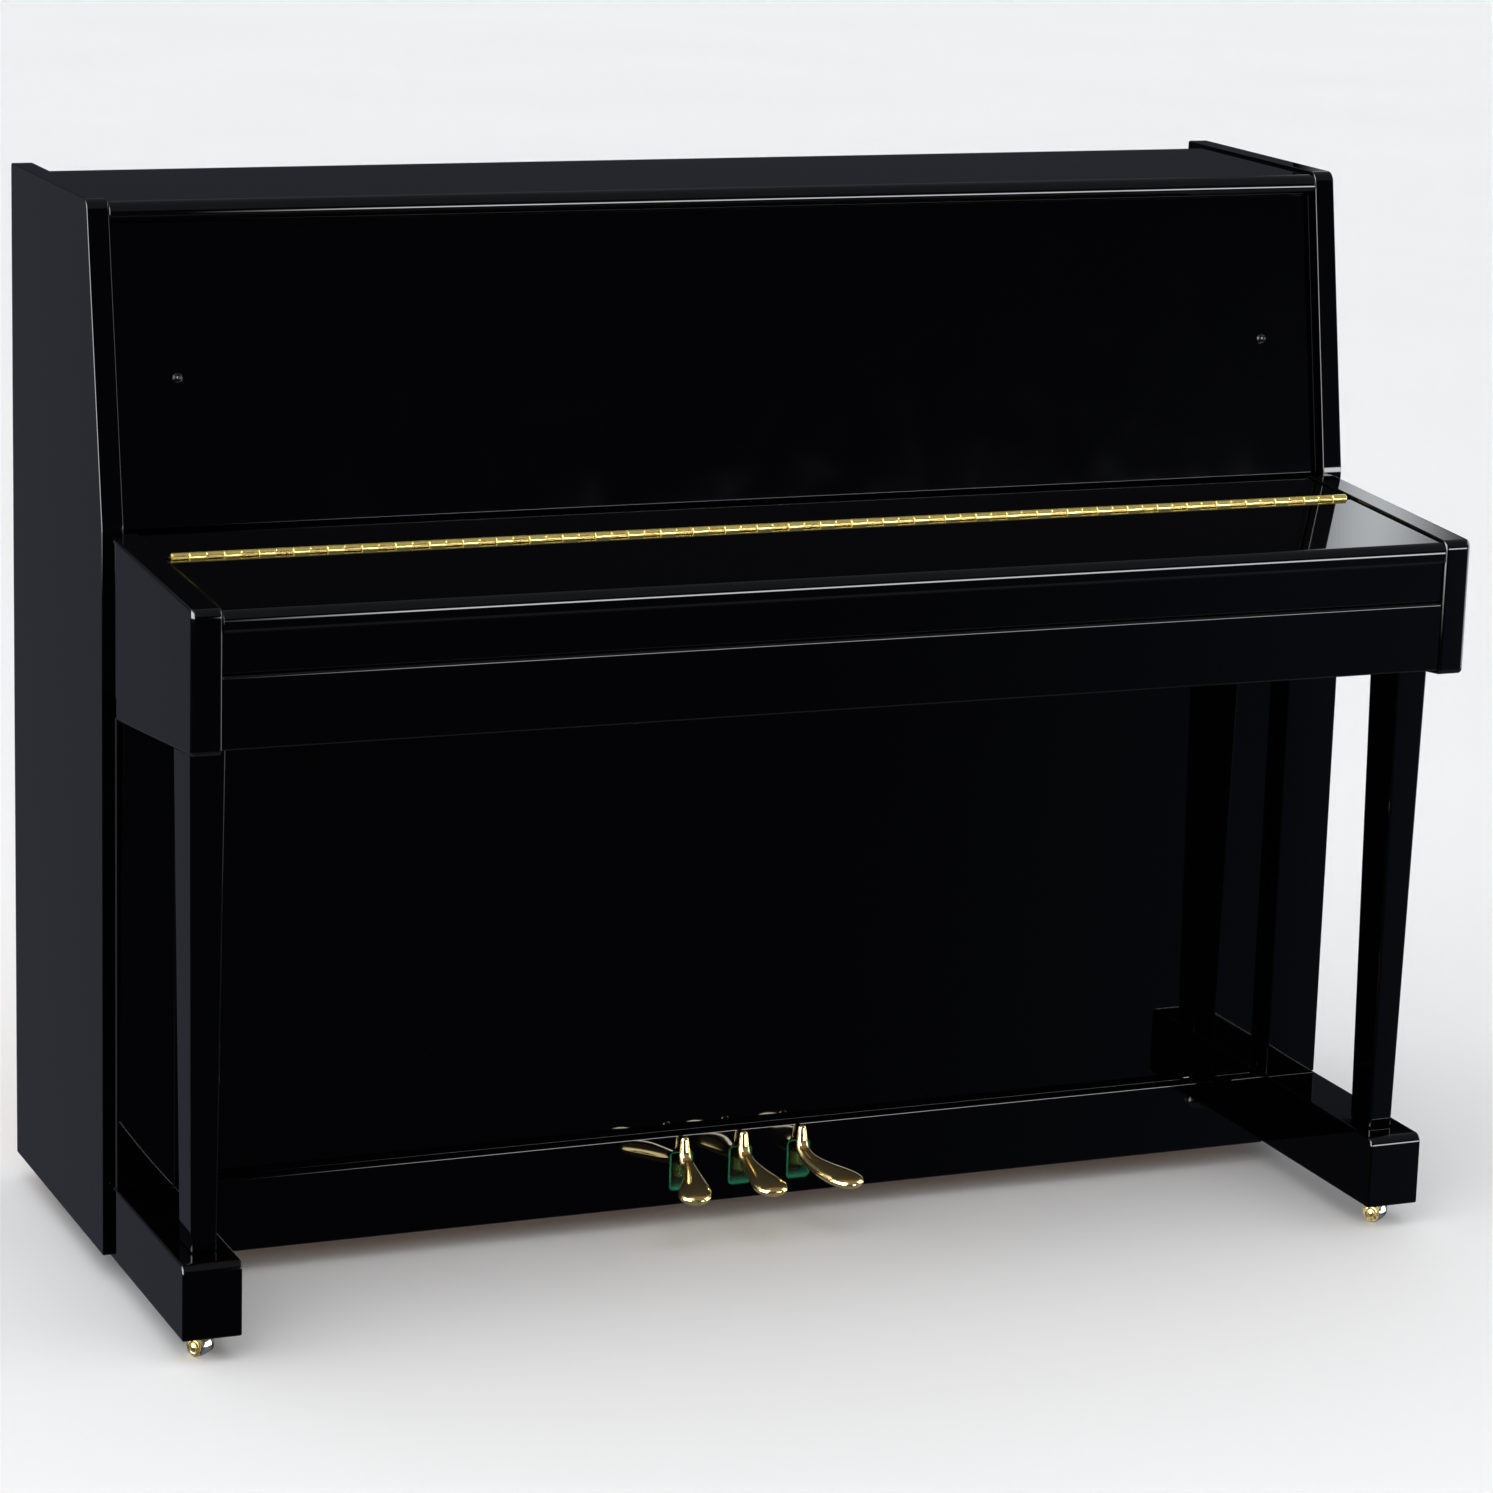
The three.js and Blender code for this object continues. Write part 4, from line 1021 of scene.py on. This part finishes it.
def bevelled_copy(node, edge, look):
    """A CAD node's own shape with its flats joined and its sharp edges rounded."""
    mesh = bmesh.new()
    mesh.from_mesh(frame["nodes"][node].data)
    bmesh.ops.remove_doubles(mesh, verts=mesh.verts, dist=1e-6)
    bmesh.ops.dissolve_limit(mesh, angle_limit=math.radians(1), verts=mesh.verts, edges=mesh.edges)
    bevel_sharp(mesh, edge, 2, 35)
    piece(f"{node}_finished", mesh, look, replaces=(node,))


def key_frame():
    """Rails under the keys, the felts on them, and the felt-edged rail behind the key caps."""
    bevelled_copy("key_frame", 0.0008, "beech")
    across, pin_y, pin_low, pin_high = (-KEYS_HALF, KEYS_HALF), -0.277, 0.684, 0.6875
    piece("front_rail_felt", board(across, (-0.290, -0.264), (0.6842, 0.6868), 0.0006, 2),
          "felt_green")
    rail = board((-ARM_IN + 0.001, ARM_IN - 0.001), (-0.1135, -0.104), (0.7245, 0.7424), 0.0006)
    piece("nameboard_rail", rail, "lacquer")
    piece("nameboard_felt", board(across, (-0.1150, -0.1137), (0.7222, 0.7420), 0.0003, 1),
          "felt_red")
    pins = bmesh.new()
    for n in range(NATURALS):
        middle = line_x(n) + KEY_PITCH / 2
        rod((middle, pin_y, pin_low), (middle, pin_y, pin_high), 0.0016, 10, pins)
    piece("front_rail_pins", pins, "steel")


keyboard()
key_frame()


# ---- inside and back ----------------------------------------------------------------------
plate_low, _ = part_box("iron_plate")
PIN_FIELD = (0.878, 1.012)  # heights of the lowest and the highest row of tuning pins
PIN_ROWS = 9
STRING_TOP, STRING_HALF, STRING_GAP = 0.862, 0.62, 0.0032
BASS_FOOT, TENOR_FOOT, TREBLE_RISE = 0.14, 0.15, 0.62
POSTS = (-0.600, -0.300, 0.0, 0.300, 0.600)
POST_HALF, POST_LOW, POST_HIGH = 0.0275, 0.150, 0.960
BOLT_ROWS = (0.095, 1.005)
BRACKETS = (-0.600, -0.220, 0.220, 0.600)  # of the hammer action


def string_count(note):
    """One string in the low bass, two in the tenor, three above."""
    return 1 if note < SINGLE_NOTES else 2 if note < BASS_NOTES else 3


def strings():
    """Steel strings from the tuning pins down over the plate, wound with copper in the bass."""
    plain, wound, pins = bmesh.new(), bmesh.new(), bmesh.new()
    y = plate_low.y - 0.006
    draw = random.Random(88)
    for note in range(STRING_NOTES):
        share = note / (STRING_NOTES - 1)
        count = string_count(note)
        bass = note < BASS_NOTES
        height = (note - BASS_NOTES) / (STRING_NOTES - BASS_NOTES)
        foot_z = BASS_FOOT if bass else TENOR_FOOT + TREBLE_RISE * height ** 1.6
        lean = 0.22 if bass else -0.05
        for k in range(count):
            x = (2 * share - 1) * STRING_HALF + (k - (count - 1) / 2) * STRING_GAP
            top = Vector((x, y, STRING_TOP))
            foot = top + Vector((lean * (1 - share), 0, foot_z - top.z))
            mesh, radius = (wound, 0.0011 if note < SINGLE_NOTES else 0.0008) if bass else (plain, 0.0005)
            rod(foot, top, radius, 6, mesh)
            row = (note * 3 + k) % PIN_ROWS
            pin_z = PIN_FIELD[0] + (PIN_FIELD[1] - PIN_FIELD[0]) * row / (PIN_ROWS - 1)
            place = Vector((top.x, plate_low.y, pin_z))
            rod(top, place + Vector((0, -0.006, 0)), 0.0005, 6, plain)
            reach = 0.021 + draw.uniform(-0.001, 0.001)
            head = place + Vector((0, -reach, 0))
            rod(place, head, 0.0034, 10, pins)
            rod(head, place + Vector((0, -reach - 0.005, 0)), 0.0028, 4, pins, 0.8)
    piece("treble_and_tenor_strings", plain, "steel")
    piece("bass_strings", wound, "copper")
    piece("tuning_pins", pins, "steel")


def hammers():
    """Hammer shanks, maple mouldings and felt heads on the rail, with damper felts before the strings."""
    low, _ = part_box("hammer_action")
    across = (-KEYS_HALF, KEYS_HALF)
    strike_z, damped_notes = 0.9055, 68
    shank_y, shank_low, shank_high = 0.130, 0.832, 0.904
    wire_y, wire_low, wire_high = 0.1885, 0.700, 0.834
    shanks, woods, heads, dampers = bmesh.new(), bmesh.new(), bmesh.new(), bmesh.new()
    for note in range(STRING_NOTES):
        x = -KEYS_HALF + (note + 0.5) * 2 * KEYS_HALF / STRING_NOTES
        big = 1.0 - 0.35 * note / STRING_NOTES
        rod((x, shank_y, shank_low), (x, shank_y, shank_high), 0.0026, 10, shanks)
        board((x - 0.0035, x + 0.0035), (0.1235, 0.1500), (strike_z - 0.004, strike_z + 0.004),
              0.0008, 1, woods)
        neck, cheek = 0.0075 * big, 0.0095 * big
        nose = [(0.134, strike_z - neck), (0.160, strike_z - cheek, 0.004), (0.174, strike_z, 0.007 * big),
                (0.160, strike_z + cheek, 0.004), (0.134, strike_z + neck)]
        prism(nose, "x", x - 0.0042, x + 0.0042, 0.0008, 1, heads)
        if note < damped_notes:
            board((x - 0.004, x + 0.004), (0.1905, 0.1965), (0.800, 0.836), 0.001, 1, dampers)
            rod((x, wire_y, wire_low), (x, wire_y, wire_high), 0.0012, 6, shanks)
    rail = board(across, (0.118, 0.142), (0.812, 0.834), 0.002)
    board(across, (0.100, 0.112), (0.842, 0.868), 0.002, 2, rail)
    piece("hammer_rails", rail, "beech", replaces=("hammer_action",))
    piece("hammer_shanks", shanks, "maple")
    piece("hammer_mouldings", woods, "maple")
    piece("hammer_heads", heads, "felt_white", crease=30)
    piece("dampers", dampers, "felt_white")
    brackets = bmesh.new()
    upright = [(0.112, low.z), (0.148, low.z), (0.140, 0.70), (0.140, 0.8115), (0.118, 0.8115),
               (0.118, 0.70)]
    horn = [(0.096, 0.8345), (0.130, 0.8345), (0.116, 0.872, 0.004), (0.096, 0.872, 0.004)]
    for x in BRACKETS:
        prism(upright, "x", x - 0.005, x + 0.005, 0.0012, 2, brackets)
        prism(horn, "x", x - 0.004, x + 0.004, 0.0008, 1, brackets)
    piece("action_brackets", brackets, "iron")


def soundboard():
    """The soundboard with its ribs, seen between the back posts."""
    bevelled_copy("soundboard", 0.0005, "soundboard")
    _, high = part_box("soundboard")
    ribs = bmesh.new()
    slope = math.tan(math.radians(RIB_ANGLE))
    clear, wide, pitch, first = 0.001, 0.024, 0.135, 0.16
    for left, right in zip(POSTS, POSTS[1:]):
        x0, x1 = left + POST_HALF + clear, right - POST_HALF - clear
        for k in range(-2, 9):
            z0 = first + k * pitch + ((x0 * slope) % pitch)
            z1 = z0 + (x1 - x0) * slope
            if z0 < POST_LOW + 2 * clear or z1 + wide > POST_HIGH - 2 * clear:
                continue
            corners = [(x0, z0), (x1, z1), (x1, z1 + wide), (x0, z0 + wide)]
            prism(corners, "y", high.y, high.y + 0.016, 0.003, 2, ribs)
    piece("soundboard_ribs", ribs, "spruce_keys")


def back_frame():
    """Posts and beams as separate timbers, with chamfered edges, and the bolts that hold them."""
    low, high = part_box("back_frame")
    frame_mesh, beams = bmesh.new(), bmesh.new()
    deep, tall = (low.y, high.y), (POST_LOW + 0.0002, POST_HIGH - 0.0002)
    for x in POSTS:
        board((x - POST_HALF, x + POST_HALF), deep, tall, 0.003, 2, frame_mesh)
    board((low.x, high.x), deep, (POST_HIGH, high.z), 0.003, 2, beams)
    foot = board((low.x, high.x), deep, (low.z, POST_LOW), 0.003, 2)
    merge(beams, cut_out(foot, [stem_hole(*caster_spot(name)) for name in ("left_rear", "right_rear")]))
    piece("back_posts", frame_mesh, "spruce_up")
    piece("back_beams", beams, "spruce_across", replaces=("back_frame",))
    bolts = bmesh.new()
    head = rounded_profile([(0, -0.001), (0.0105, -0.001), (0.0105, 0.0004, 0.0003), (0.0062, 0.0006),
                            (0.0058, 0.0008), (0, 0.0008)], 2)
    for x in POSTS:
        for z in BOLT_ROWS:
            place = Matrix.Translation((x, high.y, z)) @ Matrix.Rotation(-math.pi / 2, 4, "X")
            merge(bolts, turned(lathe(head, 24), place))
    piece("back_frame_bolts", bolts, "steel")


def inner_boards():
    bevelled_copy("key_bed", 0.001, "beech")
    bevelled_copy("bottom_board", 0.001, "beech")
    bevelled_copy("pin_block", 0.0008, "maple")
    bevelled_copy("iron_plate", 0.002, "iron")
    bevelled_copy("pedal_pivot_bracket", 0.0004, "steel")


strings()
hammers()
soundboard()
back_frame()
inner_boards()


# ---- studio -------------------------------------------------------------------------------
def floor():
    """A wide pale disc, which gloss doesn't show."""
    mesh = bmesh.new()
    bmesh.ops.create_circle(mesh, cap_ends=True, radius=80.0, segments=96)
    data = finished("floor", mesh)
    data.materials.append(studio_floor())
    obj = show("floor", data)
    obj.visible_glossy = False


def area_light(name, place, aim, size, power):
    light = bpy.data.lights.new(name, "AREA")
    light.shape = "RECTANGLE"
    light.size, light.size_y = size
    light.energy = power
    obj = show(name, light)
    obj.location = place
    obj.rotation_euler = (Vector(aim) - Vector(place)).to_track_quat("-Z", "Y").to_euler()
    obj.visible_camera = False
    obj.visible_glossy = False


def unit(azimuth, elevation):
    """Direction from degrees: azimuth from +Y towards +X, elevation above the floor."""
    a, e = math.radians(azimuth), math.radians(elevation)
    return Vector((math.sin(a) * math.cos(e), math.cos(a) * math.cos(e), math.sin(e)))


# The lamps that gloss sees. Azimuth, half width, blur; lowest, highest, blur (degrees); colour.
LAMPS = {
    "ceiling": ((0, 180, 0), (26, 90, 8), (0.16, 0.165, 0.18)),
    "back wall": ((20, 25, 20), (2, 24, 6), (0.017, 0.018, 0.022)),
    "left wall": ((-8, 12, 9), (-35, 5, 8), (0.068, 0.074, 0.092)),
    "right front wall": ((118, 22, 18), (-40, 4, 8), (0.070, 0.082, 0.110)),
    "front strip": ((150, 11, 3), (-5, 4, 3), (13.0, 13.1, 13.4)),
    "floor": ((0, 180, 0), (-90, -30, 8), (0.12, 0.12, 0.125)),
    "left lamp": ((-99, 30, 12), (-10.5, 48, 1.5), (13.0, 13.1, 13.5)),
    "left sky": ((-95, 50, 15), (25, 75, 10), (1.4, 1.42, 1.5)),
    "right lamp": ((88, 20, 12), (-12, 40, 6), (3.0, 3.05, 3.2)),
}
DIM = (0.020, 0.021, 0.028)
AMBIENT = (0.93, 0.935, 0.95)


def world():
    """Even light for everything matt; for gloss, a dim room with a few soft lamps."""
    made = bpy.data.worlds.new("studio")
    made.use_nodes = True
    scene.world = made
    made.node_tree.nodes.clear()
    graph = Graph(made.node_tree)

    def sine(degrees):
        return math.sin(math.radians(degrees))

    def cosine(degrees):
        return math.cos(math.radians(degrees))

    direction = graph.node("ShaderNodeTexCoord").outputs["Generated"]
    level = graph.vector("NORMALIZE", graph.vector("MULTIPLY", direction, (1, 1, 0)))
    height = graph.vector("DOT_PRODUCT", direction, (0, 0, 1))
    total = DIM
    for (azimuth, half, blur), (low, high, soft), color in LAMPS.values():
        masks = []
        if half < 180:
            turn = graph.vector("DOT_PRODUCT", level, unit(azimuth, 0))
            masks.append(graph.fade(turn, cosine(half + blur), cosine(half)))
        if low > -90:
            masks.append(graph.fade(height, sine(low - soft), sine(low)))
        if high < 90:
            masks.append(graph.fade(height, sine(high + soft), sine(high)))
        total = graph.vector("MULTIPLY_ADD", graph.product(masks), color, total)
    gloss, even = graph.node("ShaderNodeBackground"), graph.node("ShaderNodeBackground")
    graph.link(total, gloss.inputs["Color"])
    even.inputs["Color"].default_value = (*AMBIENT, 1)
    mix = graph.node("ShaderNodeMixShader")
    graph.link(graph.node("ShaderNodeLightPath").outputs["Is Glossy Ray"], mix.inputs["Fac"])
    graph.link(even.outputs["Background"], mix.inputs[1])
    graph.link(gloss.outputs["Background"], mix.inputs[2])
    graph.link(mix.outputs["Shader"], graph.node("ShaderNodeOutputWorld").inputs["Surface"])


def soft_card(name, x, y, z, strength):
    """An upright lamp that is bright in the middle and fades to its sides. Only gloss shows it."""
    mesh = bmesh.new()
    corners = ((x[0], z[0]), (x[1], z[0]), (x[1], z[1]), (x[0], z[1]))
    mesh.faces.new([mesh.verts.new((u, y, v)) for u, v in corners])
    data = finished(name, mesh)
    material = bpy.data.materials.new(name)
    material.use_nodes = True
    material.node_tree.nodes.clear()
    graph = Graph(material.node_tree)
    split = graph.node("ShaderNodeSeparateXYZ")
    graph.link(graph.node("ShaderNodeTexCoord").outputs["Generated"], split.inputs["Vector"])
    masks = [graph.fade(graph.math("PINGPONG", split.outputs[axis], 0.5), 0, full)
             for axis, full in (("X", 0.5), ("Z", 0.3))]
    glow = graph.node("ShaderNodeEmission")
    glow.inputs["Color"].default_value = (0.93, 0.97, 1.0, 1)
    graph.link(graph.math("MULTIPLY", graph.product(masks), strength), glow.inputs["Strength"])
    graph.link(glow.outputs["Emission"], graph.node("ShaderNodeOutputMaterial").inputs["Surface"])
    data.materials.append(material)
    obj = show(name, data)
    obj.visible_camera = False
    obj.visible_diffuse = False
    obj.visible_shadow = False


def camera():
    """A long lens from the front left, a little above the lid."""
    place = (-1.931, -4.602, 1.7085)
    yaw, pitch, roll = math.radians(22.90), math.radians(13.57), math.radians(1.72)
    data = bpy.data.cameras.new("camera")
    data.lens = 118.06
    data.sensor_width = 36.0
    data.clip_end = 200.0
    obj = show("camera", data)
    turn = Matrix.Rotation(-yaw, 4, "Z") @ Matrix.Rotation(math.pi / 2 - pitch, 4, "X")
    obj.matrix_world = Matrix.Translation(place) @ turn @ Matrix.Rotation(roll, 4, "Z")
    scene.camera = obj


floor()
world()
area_light("overhead", (-0.4, -0.9, 3.2), (0, 0, 0.5), (2.6, 1.8), 22)
area_light("front fill", (-2.6, -3.2, 2.6), (0, 0, 0.5), (1.6, 1.6), 12)
soft_card("window", (1.46, 1.86), 1.5, (0.74, 2.2), 1.5)
camera()
scene.view_settings.view_transform = "Standard"
